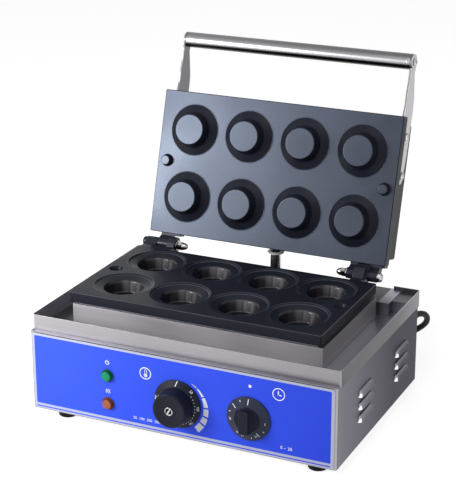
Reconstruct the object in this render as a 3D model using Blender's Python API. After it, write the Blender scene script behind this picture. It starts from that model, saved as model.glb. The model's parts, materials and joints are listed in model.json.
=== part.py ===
"""Tartlet maker with eight cups, its lid standing open.

Lengths are in metres. x runs across the front, y goes back from the front panel's face,
and z goes up from the case's bottom edge. The root empty shifts that frame so that the
whole object stands on z = 0 and is centred. Lid pieces are drawn as if the lid were
closed, and the lid empty on the hinge axis swings them open.
"""

import math

import bmesh
import bpy
import numpy as np
from mathutils import Matrix, Vector

# Fits shared by all pieces
TOUCH_GAP = 0.0003
SHAFT_CLEARANCE = 0.0003
CUT_OVERRUN = 0.002
JOIN_OVERLAP = 0.002
SHARP_ANGLE = math.radians(35)
PLATE_SHARP_ANGLE = math.radians(14)

# Cup pattern, shared by cups, bosses and the heating element
CUPS_ACROSS = 4
CUP_ROWS = 2
CUP_PITCH_X = 0.07745
CUP_PITCH_Y = 0.08775
CUP_FRONT_ROW = 0.08547

# Widths that follow from the cups
PLATE_SIDE_MARGIN = 0.0100
PLATE_WIDTH = CUPS_ACROSS * CUP_PITCH_X + 2 * PLATE_SIDE_MARGIN
CASE_SIDE_MARGIN = 0.0351
CASE_WIDTH = PLATE_WIDTH + 2 * CASE_SIDE_MARGIN

# Case
CASE_DEPTH = 0.274
CASE_HEIGHT = 0.102
SHEET = 0.0012
LEDGE_DEPTH = 0.0075
FRONT_CORNER = 0.0030
SIDE_TOP = 0.0990
FILM_THICKNESS = 0.0004
FILM_MARGIN_SIDE = 0.0030
FILM_MARGIN_END = 0.0015

# Louvres in the side panels
LOUVRE_LENGTH = 0.045
LOUVRE_HEIGHT = 0.0090
LOUVRE_PROUD = 0.0050
LOUVRE_LEVELS = (0.0310, 0.0472, 0.0630)
LOUVRE_FRONT_MIDDLE = 0.0891
LOUVRE_REAR_MIDDLE = 0.2140
LOUVRE_END_SHARE = 0.18
LOUVRE_END_POWER = 0.7

# Drip tray and rear deck
TRAY_OVERHANG = 0.0007
TRAY_WIDTH = CASE_WIDTH + 2 * TRAY_OVERHANG
TRAY_FRONT = 0.0078
TRAY_BACK = 0.2792
TRAY_FLOOR = 0.1005
TRAY_RIM = 0.1204
TRAY_CORNER = 0.0040
NOTCH_SIDE_GAP = 0.0011
TRAY_BACK_NOTCH_WIDTH = PLATE_WIDTH + 2 * NOTCH_SIDE_GAP
TRAY_WINDOW_INSET = 0.0066
DECK_OVERHANG = 0.0121
DECK_WIDTH = PLATE_WIDTH + 2 * DECK_OVERHANG
DECK_FRONT = 0.229
DECK_TOP = 0.1165
DECK_WING_FRONT = 0.243
DECK_WING_TOP = 0.1150
DECK_WIRE_HOLE = 0.0090

# Heater box and the inner frame
BOX_INSET = 0.00055
BOX_WIDTH = PLATE_WIDTH - 2 * BOX_INSET
BOX_FRONT = 0.043
BOX_BACK = 0.218
BOX_TOP = 0.1274
FRAME_INSET = 0.0079
FRAME_WIDTH = PLATE_WIDTH - 2 * FRAME_INSET
FRAME_FRONT = 0.0450
FRAME_BOTTOM = 0.110
FRAME_SHEET = 0.0015

# Hinge
HINGE_Y = 0.23782
HINGE_Z = 0.14519
OPEN_ANGLE = math.radians(106.7)
KNUCKLE_RADIUS = 0.0070
HINGE_BOLT_RADIUS = 0.0030
BOLT_HEAD_RADIUS = 0.0060
BOLT_HEAD_LENGTH = 0.0055
WASHER_RADIUS = 0.0070
WASHER_THICKNESS = 0.0010
NUT_FLAT_RADIUS = 0.0050
NUT_LENGTH = 0.0140
NUT_HEX_SHARE = 0.5
NUT_BORE_SHARE = 0.78
LEFT_KNUCKLE_INSET = 0.0015
LEFT_KNUCKLE_OUTER_END = LEFT_KNUCKLE_INSET - PLATE_WIDTH / 2
LEFT_FORK_OUTER = 0.0159
LEFT_LID_KNUCKLE = 0.0159
LEFT_FORK_INNER = 0.0110
RIGHT_KNUCKLE_INSET = 0.0063
RIGHT_KNUCKLE_OUTER_END = PLATE_WIDTH / 2 - RIGHT_KNUCKLE_INSET
RIGHT_FORK_OUTER = 0.0131
RIGHT_OUTER_PLAY = 0.0015
RIGHT_LOWER_KNUCKLE = 0.0144
RIGHT_FORK_INNER = 0.0104

# Lower plate
PLATE_FRONT = 0.0352
PLATE_BACK = 0.2160
PLATE_BOTTOM = 0.1331
PLATE_TOP = 0.14587
PLATE_CORNER = 0.0020
PLATE_EDGE = 0.0007
CUP_RIM_RADIUS = 0.0370
CUP_LEDGE_RADIUS = 0.0346
CUP_LEDGE_DEPTH = 0.0016
CUP_WELL_RADIUS = 0.0238
CUP_WELL_DEPTH = 0.0045
CUP_FLOOR_RADIUS = 0.0204
CUP_DEPTH = 0.0195
CUP_WALL = 0.0034
LOWER_LUG_BACK = 0.2290
LUG_BLOCK_BACK = 0.2270

# Locating pins and their holes
PIN_INSET = 0.0141
PIN_X = PLATE_WIDTH / 2 - PIN_INSET
PIN_Y = 0.1289
PIN_BASE_RADIUS = 0.0084
PIN_TIP_RADIUS = 0.0062
PIN_HEIGHT = 0.0071
PIN_HOLE_TOP_RADIUS = 0.0087
PIN_HOLE_CLEARANCE = 0.0005

# Lid plate
CLOSED_GAP = 0.00367
LID_PLATE_INSET = 0.0004
LID_PLATE_WIDTH = PLATE_WIDTH - 2 * LID_PLATE_INSET
LID_PLATE_FRONT = 0.03685
LID_PLATE_BACK = 0.2225
LID_PLATE_THICKNESS = 0.0148
BOSS_BASE_RADIUS = 0.03296
BOSS_STEP_RADIUS = 0.0228
BOSS_STEP_HEIGHT = 0.0048
BOSS_FACE_RADIUS = 0.01973
BOSS_HEIGHT = 0.0179
LID_LUG_TOP = 0.1580
LID_LUG_BACK = 0.2260

# Lid cover and what it holds
COVER_INSET = 0.0092
COVER_WIDTH = LID_PLATE_WIDTH - 2 * COVER_INSET
COVER_FRONT = 0.0459
COVER_BACK = 0.2190
COVER_TOP = 0.2120
COVER_CORNER = 0.0030
CLAMP_THICKNESS = 0.0015
CLAMP_MARGIN = 0.0060
PAD_THICKNESS = 0.0200
PAD_MARGIN = 0.0050

# Heating elements
ELEMENT_RADIUS = 0.0040
ELEMENT_BEND = 0.0120
ELEMENT_BEND_STEPS = 3
ELEMENT_EDGE_GAP = 0.0080
UPPER_ELEMENT_EDGE_GAP = 0.0140
COLD_END = 0.0380
UPPER_COLD_END = 0.0090

# Heat shield and lower pad
SHIELD_MARGIN = 0.0040
LOWER_PAD_INSET = 0.0170
LOWER_PAD_WIDTH = FRAME_WIDTH - 2 * LOWER_PAD_INSET
LOWER_PAD_FRONT = 0.062
LOWER_PAD_BACK = 0.197
LOWER_PAD_TOP = 0.1180
SHIELD_HOLE_RADIUS = 0.0065

# Handle
STRAP_THICKNESS = 0.0030
STRAP_LOW = 0.1673
STRAP_HIGH = 0.2000
STRAP_BACK = 0.1220
STRAP_EYE_START = math.radians(70)
STRAP_EYE_END = math.radians(335)
# Strap outline: share of the length from the tube to the back end, share of the height
STRAP_SHARES = (
    (0.051, 0.140), (0.182, 0.137), (0.285, 0.083), (0.376, 0.083), (0.441, 0.0),
    (0.935, 0.0), (0.975, 0.080), (1.0, 0.340), (1.0, 0.620), (0.965, 0.780),
    (0.883, 0.829), (0.798, 0.890), (0.695, 0.930), (0.600, 0.940), (0.506, 0.960),
    (0.399, 1.0), (0.302, 0.955), (0.181, 0.765), (0.090, 0.610),
)
TUBE_RADIUS = 0.0100
TUBE_WALL = 0.0015
TUBE_END_CAP = 0.0060
TUBE_Y = -0.0319
TUBE_Z = 0.1810
SCREW_RADIUS = 0.0025
SCREW_HEAD_RADIUS = 0.0050
SCREW_HEAD_HEIGHT = 0.0028
SCREW_HEAD_DOME_SHARE = 0.72
SCREW_REACH = 0.0080
STRAP_SCREW_Z = 0.1864
STRAP_FRONT_SCREW_Y = 0.0617
STRAP_REAR_SCREW_Y = 0.1109

# Temperature knob
TEMPERATURE_X = 0.0
TEMPERATURE_Z = 0.0445
KNOB_BACK_GAP = 0.0006
TEMPERATURE_SKIRT_RADIUS = 0.0305
TEMPERATURE_GRIP_RADIUS = 0.0208
TEMPERATURE_LENGTH = 0.0237
SKIRT_RIM = 0.0012
SKIRT_HEIGHT = 0.0050
GRIP_ROUNDING = 0.0016
FACE_DISH = 0.0008
CAP_RADIUS = 0.0047
CAP_POCKET_DEPTH = 0.0018
CAP_PROUD = 0.0008
CAP_SLOT_WIDTH = 0.0014
CAP_SLOT_DEPTH = 0.0010
CAP_SLOT_ANGLE = math.radians(28)
SHAFT_RADIUS = 0.0030
SHAFT_IN_KNOB = 0.0130
SHAFT_IN_BODY = 0.0120

# Timer knob
TIMER_INSET = 0.1086
TIMER_X = CASE_WIDTH / 2 - TIMER_INSET
TIMER_Z = 0.0443
TIMER_SKIRT_RADIUS = 0.0275
TIMER_BOSS_RADIUS = 0.0155
TIMER_GRIP_FRONT_RADIUS = 0.0148
TIMER_GRIP_BASE_WIDTH = 0.0220
TIMER_GRIP_FRONT_WIDTH = 0.0116
TIMER_LENGTH = 0.0160
TIMER_BOSS_HEIGHT = 0.0070
GRIP_END_STEPS = 4

# Thermostat, its bulb, timer and terminals
PANEL_SHAFT_HOLE = 0.0050
BODY_FRONT_GAP = 0.0003
THERMOSTAT_SIZE = 0.0440
THERMOSTAT_LENGTH = 0.0300
TIMER_BODY_SIZE = 0.0460
TIMER_BODY_LENGTH = 0.0340
BULB_RADIUS = 0.0030
BULB_LENGTH = 0.0900
CAPILLARY_RADIUS = 0.0010
BULB_SHOULDER = 0.0040
CAPILLARY_BEND = 0.0060
TERMINAL_WIDTH = 0.0600
TERMINAL_DEPTH = 0.0200
TERMINAL_HEIGHT = 0.0180
TERMINAL_INSET = 0.0650
TERMINAL_X = CASE_WIDTH / 2 - TERMINAL_INSET
TERMINAL_BACK_GAP = 0.0200
TERMINAL_SLOT = 0.0060
TERMINAL_WAYS = 5

# Signal lamps
LAMP_INSET = 0.1065
LAMP_X = LAMP_INSET - CASE_WIDTH / 2
POWER_LAMP_Z = 0.0630
HEAT_LAMP_Z = 0.0264
BEZEL_RADIUS = 0.0080
BEZEL_HEIGHT = 0.0018
BEZEL_CHAMFER = 0.0006
LAMP_BODY_RADIUS = 0.0060
LAMP_BODY_LENGTH = 0.0220
LENS_STEM_RADIUS = 0.0048
LENS_STEM_LENGTH = 0.0100
LENS_RADIUS = 0.0066
LENS_HEIGHT = 0.0034
LENS_RIM = 0.0010

# Feet
FOOT_HEIGHT = 0.0150
FOOT_RADIUS = 0.0120
FOOT_TOP_RADIUS = 0.0100
FOOT_EDGE = 0.0012
FOOT_RECESS_RADIUS = 0.0050
FOOT_RECESS_DEPTH = 0.0040
FOOT_INSET_X = 0.0330
FOOT_INSET_Y = 0.0270

# Sleeve and lead between the case and the lid
SLEEVE_X = 0.0076
SLEEVE_Y = 0.2680
SLEEVE_FLANGE_RADIUS = 0.0090
SLEEVE_FLANGE_HEIGHT = 0.0025
SLEEVE_RADIUS = 0.0072
SLEEVE_WALL = 0.0013
SLEEVE_HEIGHT = 0.0277
SLEEVE_GROMMET = 0.0030
LEAD_RADIUS = 0.0035
LEAD_STEPS = 8
LEAD_BEND_START = 0.0080
LID_GLAND_Z = 0.1765
LID_GLAND_RADIUS = 0.0110
LID_GLAND_CHAMFER = 0.0008
LID_GLAND_THICKNESS = 0.0030
WIRE_HOLE = 0.0060

# Mains cord, its gland and plug
CORD_RADIUS = 0.0040
GLAND_INSET = 0.0140
GLAND_X = CASE_WIDTH / 2 - GLAND_INSET
GLAND_Z = 0.0720
GLAND_FLANGE_RADIUS = 0.0100
GLAND_FLANGE_LENGTH = 0.0030
GLAND_BASE_RADIUS = 0.0080
GLAND_TIP_RADIUS = 0.0055
GLAND_TAIL = 0.0220
GLAND_RINGS = 3
GLAND_GROOVE = 0.0007
GLAND_STEM_RADIUS = 0.0062
GLAND_STEM_LENGTH = 0.0060
COIL_OFFSET = 0.1460
COIL_X = GLAND_X - COIL_OFFSET
COIL_Y = 0.3490
COIL_OUTER = 0.0568
COIL_PITCH = 0.0088
COIL_LAYER = 0.0087
COIL_TURNS = 4
COIL_STEPS = 24
TAIL_RUN = 0.0500
PLUG_RADIUS = 0.0180
PLUG_NECK_RADIUS = 0.0058
PLUG_NECK = 0.0120
PLUG_SHOULDER = 0.0080
PLUG_BODY = 0.0200
PLUG_PIN_RADIUS = 0.0024
PLUG_PIN_LENGTH = 0.0190
PLUG_PIN_SPACING = 0.0190
# Chosen points of the free stretch down to the table, with x counted from the gland
CORD_ROUTE = (
    (0.0000, 0.3060, 0.0720), (0.0010, 0.3180, 0.0710), (0.0035, 0.3295, 0.0675),
    (0.0050, 0.3390, 0.0612), (0.0040, 0.3460, 0.0530), (-0.0005, 0.3510, 0.0445),
    (-0.0090, 0.3540, 0.0360), (-0.0220, 0.3545, 0.0265), (-0.0380, 0.3520, 0.0160),
    (-0.0540, 0.3440, 0.0055), (-0.0690, 0.3300, -0.0035), (-0.0840, 0.3130, -0.0090),
    (-0.1010, 0.2990, -0.0109), (-0.1160, 0.2932, -0.0110),
)
CORD_STEPS = 2

# How finely round shapes are cut
ROUND_STEPS = 28
MEDIUM_ROUND_STEPS = 20
SMALL_ROUND_STEPS = 12
HEX_ROUND_STEPS = 12
MINOR_ROUND_STEPS = 16
CORNER_STEPS = 4
LOUVRE_ALONG_STEPS = 6
LOUVRE_UP_STEPS = 2


# Values that follow from the sizes above

def plate_middle_y():
    return CUP_FRONT_ROW + CUP_PITCH_Y * (CUP_ROWS - 1) / 2


LID_FACE = PLATE_TOP + CLOSED_GAP
LID_PLATE_TOP = LID_FACE + LID_PLATE_THICKNESS
COVER_BOTTOM = LID_PLATE_TOP + TOUCH_GAP
FRAME_BACK = 2 * plate_middle_y() - FRAME_FRONT
FRAME_TOP = PLATE_BOTTOM - TOUCH_GAP
FILM_BACK = -TOUCH_GAP
FILM_FRONT = FILM_BACK - FILM_THICKNESS
KNOB_BACK = FILM_FRONT - KNOB_BACK_GAP
STRAP_INNER = COVER_WIDTH / 2 + TOUCH_GAP
STRAP_OUTER = STRAP_INNER + STRAP_THICKNESS
TABLE = -FOOT_HEIGHT
CORD_ON_TABLE = TABLE + CORD_RADIUS
LOWER_ELEMENT_Z = PLATE_BOTTOM - TOUCH_GAP - ELEMENT_RADIUS
UPPER_ELEMENT_Z = LID_PLATE_TOP + TOUCH_GAP + ELEMENT_RADIUS
GLAND_END = CASE_DEPTH + TOUCH_GAP + GLAND_FLANGE_LENGTH + GLAND_TAIL
LAMP_PLACES = ((LAMP_X, POWER_LAMP_Z), (LAMP_X, HEAT_LAMP_Z))


def opened(y, z):
    """Where a point of the closed lid stands when the lid is open."""
    dy, dz = y - HINGE_Y, z - HINGE_Z
    back = dy * math.cos(OPEN_ANGLE) + dz * math.sin(OPEN_ANGLE)
    up = dz * math.cos(OPEN_ANGLE) - dy * math.sin(OPEN_ANGLE)
    return HINGE_Y + back, HINGE_Z + up


def middle_of_depth():
    """Half way between the temperature knob's face and the rearmost point of the open lid."""
    front = KNOB_BACK - TEMPERATURE_LENGTH
    tube_back = opened(TUBE_Y, TUBE_Z)[0] + TUBE_RADIUS
    cover_back = opened(COVER_FRONT, COVER_TOP)[0]
    return (front + max(tube_back, cover_back)) / 2


def cup_places():
    """Middles of the cups, which the bosses share."""
    places = []
    for row in range(CUP_ROWS):
        for column in range(CUPS_ACROSS):
            x = (column - (CUPS_ACROSS - 1) / 2) * CUP_PITCH_X
            places.append((x, CUP_FRONT_ROW + row * CUP_PITCH_Y))
    return places


# Scene, materials and shapes

def clear_scene():
    for piece in list(bpy.data.objects):
        bpy.data.objects.remove(piece)


def make_material(name, colour, roughness, metallic):
    material = bpy.data.materials.new(name)
    material.use_nodes = True
    surface = material.node_tree.nodes["Principled BSDF"]
    surface.inputs["Base Color"].default_value = (*colour, 1)
    surface.inputs["Roughness"].default_value = roughness
    surface.inputs["Metallic"].default_value = metallic
    return material


def make_materials():
    return {
        "steel": make_material("stainless_steel", (0.52, 0.50, 0.49), 0.32, 1.0),
        "polished": make_material("polished_steel", (0.66, 0.66, 0.66), 0.16, 1.0),
        "film": make_material("blue_film", (0.045, 0.08, 0.62), 0.35, 0.0),
        "coated": make_material("coated_aluminium", (0.035, 0.04, 0.06), 0.38, 0.3),
        "black": make_material("black_plastic", (0.012, 0.012, 0.014), 0.4, 0.0),
        "rubber": make_material("black_rubber", (0.02, 0.02, 0.02), 0.7, 0.0),
        "green": make_material("green_lens", (0.02, 0.45, 0.12), 0.15, 0.0),
        "orange": make_material("orange_lens", (0.85, 0.22, 0.02), 0.15, 0.0),
        "element": make_material("element_sheath", (0.30, 0.27, 0.24), 0.45, 1.0),
        "pad": make_material("mineral_wool", (0.60, 0.56, 0.45), 0.95, 0.0),
        "ceramic": make_material("white_ceramic", (0.80, 0.78, 0.72), 0.35, 0.0),
        "grey": make_material("grey_plastic", (0.30, 0.30, 0.31), 0.45, 0.0),
    }


def new_empty(name, place, parent=None):
    empty = bpy.data.objects.new(name, None)
    empty.location = place
    empty.parent = parent
    bpy.context.scene.collection.objects.link(empty)
    return empty


def finish(shape, name, material, parent, smooth=True):
    """Turns a bmesh into a named object."""
    bmesh.ops.recalc_face_normals(shape, faces=shape.faces)
    mesh = bpy.data.meshes.new(name)
    shape.to_mesh(mesh)
    shape.free()
    if smooth:
        mesh.shade_smooth()
        mesh.set_sharp_from_angle(angle=SHARP_ANGLE)
    mesh.materials.append(material)
    piece = bpy.data.objects.new(name, mesh)
    piece.parent = parent
    bpy.context.scene.collection.objects.link(piece)
    return piece


def as_cutter(shape, name, parent):
    """A helper that shapes another piece and isn't a piece itself."""
    bmesh.ops.recalc_face_normals(shape, faces=shape.faces)
    mesh = bpy.data.meshes.new(name)
    shape.to_mesh(mesh)
    shape.free()
    helper = bpy.data.objects.new(name, mesh)
    helper.parent = parent
    helper.hide_render = True
    helper.display_type = "WIRE"
    bpy.context.scene.collection.objects.link(helper)
    return helper


def combine(piece, helper, operation):
    modifier = piece.modifiers.new(helper.name, "BOOLEAN")
    modifier.operation = operation
    modifier.object = helper


def soften(piece, width):
    modifier = piece.modifiers.new("soft_edges", "BEVEL")
    modifier.width = width
    modifier.segments = 1
    modifier.limit_method = "ANGLE"


def add_loft(shape, sections):
    """Joins closed rings of points into one body with flat ends."""
    rings = [[shape.verts.new(point) for point in section] for section in sections]
    count = len(rings[0])
    for near, far in zip(rings, rings[1:]):
        for i in range(count):
            j = (i + 1) % count
            shape.faces.new((near[i], near[j], far[j], far[i]))
    shape.faces.new(list(reversed(rings[0])))
    shape.faces.new(rings[-1])


def add_prism(shape, outline, axis, low, high):
    """Outline pairs are (y, z) for axis X, (x, z) for axis Y and (x, y) for axis Z."""
    def place(a, b, along):
        if axis == "X":
            return (along, a, b)
        if axis == "Y":
            return (a, along, b)
        return (a, b, along)

    add_loft(shape, [[place(a, b, along) for a, b in outline] for along in (low, high)])


def add_box(shape, low, high):
    outline = ((low[0], low[1]), (high[0], low[1]), (high[0], high[1]), (low[0], high[1]))
    add_prism(shape, outline, "Z", low[2], high[2])


def rounded_rectangle(low, high, radius):
    points = []
    corners = (
        (high[0] - radius, low[1] + radius, -90), (high[0] - radius, high[1] - radius, 0),
        (low[0] + radius, high[1] - radius, 90), (low[0] + radius, low[1] + radius, 180),
    )
    for x, y, start in corners:
        for step in range(CORNER_STEPS + 1):
            angle = math.radians(start + 90 * step / CORNER_STEPS)
            points.append((x + radius * math.cos(angle), y + radius * math.sin(angle)))
    return points


def turn_matrix(centre, axis):
    """Sends the turning axis Z to X, to Y, to -Y or to -X, through the centre."""
    turns = {
        "Z": Matrix.Identity(4),
        "-Z": Matrix.Rotation(math.pi, 4, "X"),
        "X": Matrix.Rotation(math.pi / 2, 4, "Y"),
        "-X": Matrix.Rotation(-math.pi / 2, 4, "Y"),
        "Y": Matrix.Rotation(-math.pi / 2, 4, "X"),
        "-Y": Matrix.Rotation(math.pi / 2, 4, "X"),
    }
    return Matrix.Translation(centre) @ turns[axis]


def hex_radius(flat_radius, angle):
    """Distance from the middle of a hexagon to its side at that angle."""
    sixth = math.pi / 3
    return flat_radius / math.cos((angle + sixth / 2) % sixth - sixth / 2)


def add_turned(shape, profile, centre, axis, steps=ROUND_STEPS, ring=False):
    """Turns (radius, height) pairs round an axis. A third value True makes that level a hexagon."""
    matrix = turn_matrix(centre, axis)
    levels = []
    for level in profile:
        radius, height = level[0], level[1]
        if radius == 0:
            levels.append([shape.verts.new(matrix @ Vector((0, 0, height)))])
            continue
        points = []
        for step in range(steps):
            angle = 2 * math.pi * step / steps
            reach = hex_radius(radius, angle) if len(level) > 2 else radius
            place = Vector((reach * math.cos(angle), reach * math.sin(angle), height))
            points.append(shape.verts.new(matrix @ place))
        levels.append(points)
    pairs = list(zip(levels, levels[1:]))
    if ring:
        pairs.append((levels[-1], levels[0]))
    for near, far in pairs:
        add_band(shape, near, far)
    if not ring:
        for end in (levels[0], levels[-1]):
            if len(end) > 1:
                shape.faces.new(end)


def add_band(shape, near, far):
    """Faces between two levels of a turned shape, either of which may be one point."""
    count = max(len(near), len(far))
    for i in range(count):
        j = (i + 1) % count
        if len(near) == 1:
            shape.faces.new((near[0], far[i], far[j]))
        elif len(far) == 1:
            shape.faces.new((near[i], near[j], far[0]))
        else:
            shape.faces.new((near[i], near[j], far[j], far[i]))


def turned_piece(name, profile, centre, axis, material, parent, steps=ROUND_STEPS, ring=False):
    shape = bmesh.new()
    add_turned(shape, profile, centre, axis, steps, ring)
    return finish(shape, name, material, parent)


def box_piece(name, low, high, material, parent):
    shape = bmesh.new()
    add_box(shape, low, high)
    return finish(shape, name, material, parent, smooth=False)


def tube_piece(name, points, radius, resolution, material, parent, radii=None):
    """A round tube through the points. radii are shares of the radius."""
    curve = bpy.data.curves.new(name, "CURVE")
    curve.dimensions = "3D"
    curve.bevel_depth = radius
    curve.bevel_resolution = resolution
    curve.use_fill_caps = True
    spline = curve.splines.new("POLY")
    spline.points.add(len(points) - 1)
    for i, point in enumerate(points):
        spline.points[i].co = (*point, 1)
        spline.points[i].radius = radii[i] if radii else 1
    curve.materials.append(material)
    piece = bpy.data.objects.new(name, curve)
    piece.parent = parent
    bpy.context.scene.collection.objects.link(piece)
    return piece


def smooth_route(points, steps):
    """Points along a smooth curve through the chosen points."""
    chain = [Vector(p) for p in points]
    chain = [2 * chain[0] - chain[1]] + chain + [2 * chain[-1] - chain[-2]]
    route = []
    for a, b, c, d in zip(chain, chain[1:], chain[2:], chain[3:]):
        for step in range(steps):
            t = step / steps
            route.append(
                b + (c - a) * t / 2
                + (2 * a - 5 * b + 4 * c - d) * t * t / 2
                + (3 * b - a - 3 * c + d) * t ** 3 / 2
            )
    route.append(chain[-2])
    return route


def rounded_route(points, bend, steps):
    """A path of straight runs whose corners are arcs of one radius."""
    corners = [Vector(p) for p in points]
    route = [corners[0]]
    for before, here, after in zip(corners, corners[1:], corners[2:]):
        entering = (before - here).normalized()
        leaving = (after - here).normalized()
        half = entering.angle(leaving) / 2
        back = bend / math.tan(half)
        middle = here + (entering + leaving).normalized() * bend / math.sin(half)
        start, end = here + entering * back - middle, here + leaving * back - middle
        sweep = start.angle(end)
        for step in range(steps + 1):
            share = step / steps
            first = math.sin((1 - share) * sweep) / math.sin(sweep)
            second = math.sin(share * sweep) / math.sin(sweep)
            route.append(middle + start * first + end * second)
    route.append(corners[-1])
    return route


def route_length(points):
    return sum((b - a).length for a, b in zip(points, points[1:]))


# Case

def make_panel_holes(case):
    """Holes for the two shafts and the two lamps, through the panel and the film."""
    shape = bmesh.new()
    for x, z in ((TEMPERATURE_X, TEMPERATURE_Z), (TIMER_X, TIMER_Z)):
        reach = CUT_OVERRUN + SHEET
        add_turned(shape, ((PANEL_SHAFT_HOLE, -reach), (PANEL_SHAFT_HOLE, reach)),
                   (x, 0, z), "Y", SMALL_ROUND_STEPS)
    for x, z in LAMP_PLACES:
        hole = LAMP_BODY_RADIUS + TOUCH_GAP
        reach = CUT_OVERRUN + SHEET
        add_turned(shape, ((hole, -reach), (hole, reach)), (x, 0, z), "Y", SMALL_ROUND_STEPS)
    return as_cutter(shape, "panel_holes", case)


def make_front_panel(case, materials, holes):
    half = CASE_WIDTH / 2
    outline = rounded_rectangle((-half, 0), (half, LEDGE_DEPTH), FRONT_CORNER)
    outline = [(x, y) for x, y in outline if y <= FRONT_CORNER]
    outline += [(half, LEDGE_DEPTH), (-half, LEDGE_DEPTH)]
    outline.sort(key=lambda p: math.atan2(p[1] - LEDGE_DEPTH / 2, p[0] / CASE_WIDTH * LEDGE_DEPTH))
    shape = bmesh.new()
    add_prism(shape, outline, "Z", 0, CASE_HEIGHT)
    panel = finish(shape, "front_panel", materials["steel"], case)
    hollow = bmesh.new()
    add_box(hollow, (SHEET - half, SHEET, -CUT_OVERRUN),
            (half - SHEET, LEDGE_DEPTH + CUT_OVERRUN, CASE_HEIGHT - SHEET))
    combine(panel, as_cutter(hollow, "front_panel_hollow", case), "DIFFERENCE")
    combine(panel, holes, "DIFFERENCE")


def make_front_film(case, materials, holes):
    half = CASE_WIDTH / 2 - FILM_MARGIN_SIDE
    low, high = (-half, FILM_MARGIN_END), (half, CASE_HEIGHT - FILM_MARGIN_END)
    shape = bmesh.new()
    add_prism(shape, rounded_rectangle(low, high, FRONT_CORNER), "Y", FILM_FRONT, FILM_BACK)
    film = finish(shape, "front_film", materials["film"], case, smooth=False)
    combine(film, holes, "DIFFERENCE")


def add_louvre(shape, side, face, middle, level, inset):
    """Half of a flattened dome, flat along its lower edge."""
    proud = LOUVRE_PROUD - inset
    length = LOUVRE_LENGTH / 2 - inset
    height = LOUVRE_HEIGHT - inset
    root = side * (face - SHEET - CUT_OVERRUN) if inset else side * (face - SHEET / 2)
    bottom = level - CUT_OVERRUN if inset else level
    sections = []
    for along in range(LOUVRE_ALONG_STEPS + 1):
        angle = math.pi * along / LOUVRE_ALONG_STEPS
        y = middle - length * math.cos(angle)
        size = max(math.sin(angle), LOUVRE_END_SHARE) ** LOUVRE_END_POWER
        points = [(root, y, bottom)]
        if inset:
            points.append((side * (face + proud * size), y, bottom))
        for up in range(LOUVRE_UP_STEPS + 1):
            lift = math.pi / 2 * up / LOUVRE_UP_STEPS
            out = face + proud * size * math.cos(lift)
            points.append((side * out, y, level + height * size * math.sin(lift)))
        points.append((root, y, level + height * size))
        sections.append(points)
    add_loft(shape, sections)


def make_side_panel(name, side, case, materials):
    face = CASE_WIDTH / 2
    inner, outer = sorted((side * (face - SHEET), side * face))
    shape = bmesh.new()
    add_box(shape, (inner, LEDGE_DEPTH + TOUCH_GAP, 0), (outer, CASE_DEPTH, SIDE_TOP))
    panel = finish(shape, name, materials["steel"], case)
    for inset, operation in ((0, "UNION"), (SHEET, "DIFFERENCE")):
        domes = bmesh.new()
        for middle in (LOUVRE_FRONT_MIDDLE, LOUVRE_REAR_MIDDLE):
            for level in LOUVRE_LEVELS:
                add_louvre(domes, side, face, middle, level, inset)
        helper = as_cutter(domes, f"{name}_{operation.lower()}_domes", case)
        combine(panel, helper, operation)


def make_back_panel(case, materials):
    half = CASE_WIDTH / 2 - SHEET - TOUCH_GAP
    panel = box_piece("back_panel", (-half, CASE_DEPTH - SHEET, 0),
                      (half, CASE_DEPTH, SIDE_TOP), materials["steel"], case)
    hole = bmesh.new()
    radius = GLAND_STEM_RADIUS + TOUCH_GAP
    reach = SHEET + CUT_OVERRUN
    add_turned(hole, ((radius, -reach), (radius, reach)), (GLAND_X, CASE_DEPTH, GLAND_Z), "Y",
               SMALL_ROUND_STEPS)
    combine(panel, as_cutter(hole, "cord_hole", case), "DIFFERENCE")


def make_bottom_plate(case, materials):
    half = CASE_WIDTH / 2 - SHEET - TOUCH_GAP
    box_piece("bottom_plate", (-half, SHEET + TOUCH_GAP, 0),
              (half, CASE_DEPTH - SHEET - TOUCH_GAP, SHEET), materials["steel"], case)


def tray_window():
    """The hole in the tray's floor under the heater box, as (low x, y) and (high x, y)."""
    half = BOX_WIDTH / 2 - TRAY_WINDOW_INSET
    return (-half, BOX_FRONT + TRAY_WINDOW_INSET), (half, BOX_BACK - TRAY_WINDOW_INSET)


def make_drip_tray(case, materials):
    half = TRAY_WIDTH / 2
    shape = bmesh.new()
    add_prism(shape, rounded_rectangle((-half, TRAY_FRONT), (half, TRAY_BACK), TRAY_CORNER),
              "Z", TRAY_FLOOR - SHEET, TRAY_RIM)
    tray = finish(shape, "drip_tray", materials["steel"], case)
    hollow = bmesh.new()
    low = (SHEET - half, TRAY_FRONT + SHEET)
    high = (half - SHEET, TRAY_BACK - SHEET)
    add_prism(hollow, rounded_rectangle(low, high, TRAY_CORNER - SHEET), "Z", TRAY_FLOOR,
              TRAY_RIM + CUT_OVERRUN)
    combine(tray, as_cutter(hollow, "drip_tray_hollow", case), "DIFFERENCE")
    openings = bmesh.new()
    low, high = tray_window()
    add_box(openings, (*low, TRAY_FLOOR - SHEET - CUT_OVERRUN), (*high, TRAY_FLOOR + CUT_OVERRUN))
    notch = TRAY_BACK_NOTCH_WIDTH / 2
    add_box(openings, (-notch, TRAY_BACK - SHEET - CUT_OVERRUN, DECK_TOP),
            (notch, TRAY_BACK + CUT_OVERRUN, TRAY_RIM + CUT_OVERRUN))
    reach = SHEET + CUT_OVERRUN
    add_turned(openings, ((DECK_WIRE_HOLE, -reach), (DECK_WIRE_HOLE, reach)),
               (SLEEVE_X, SLEEVE_Y, TRAY_FLOOR), "Z", SMALL_ROUND_STEPS)
    combine(tray, as_cutter(openings, "drip_tray_openings", case), "DIFFERENCE")


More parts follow.
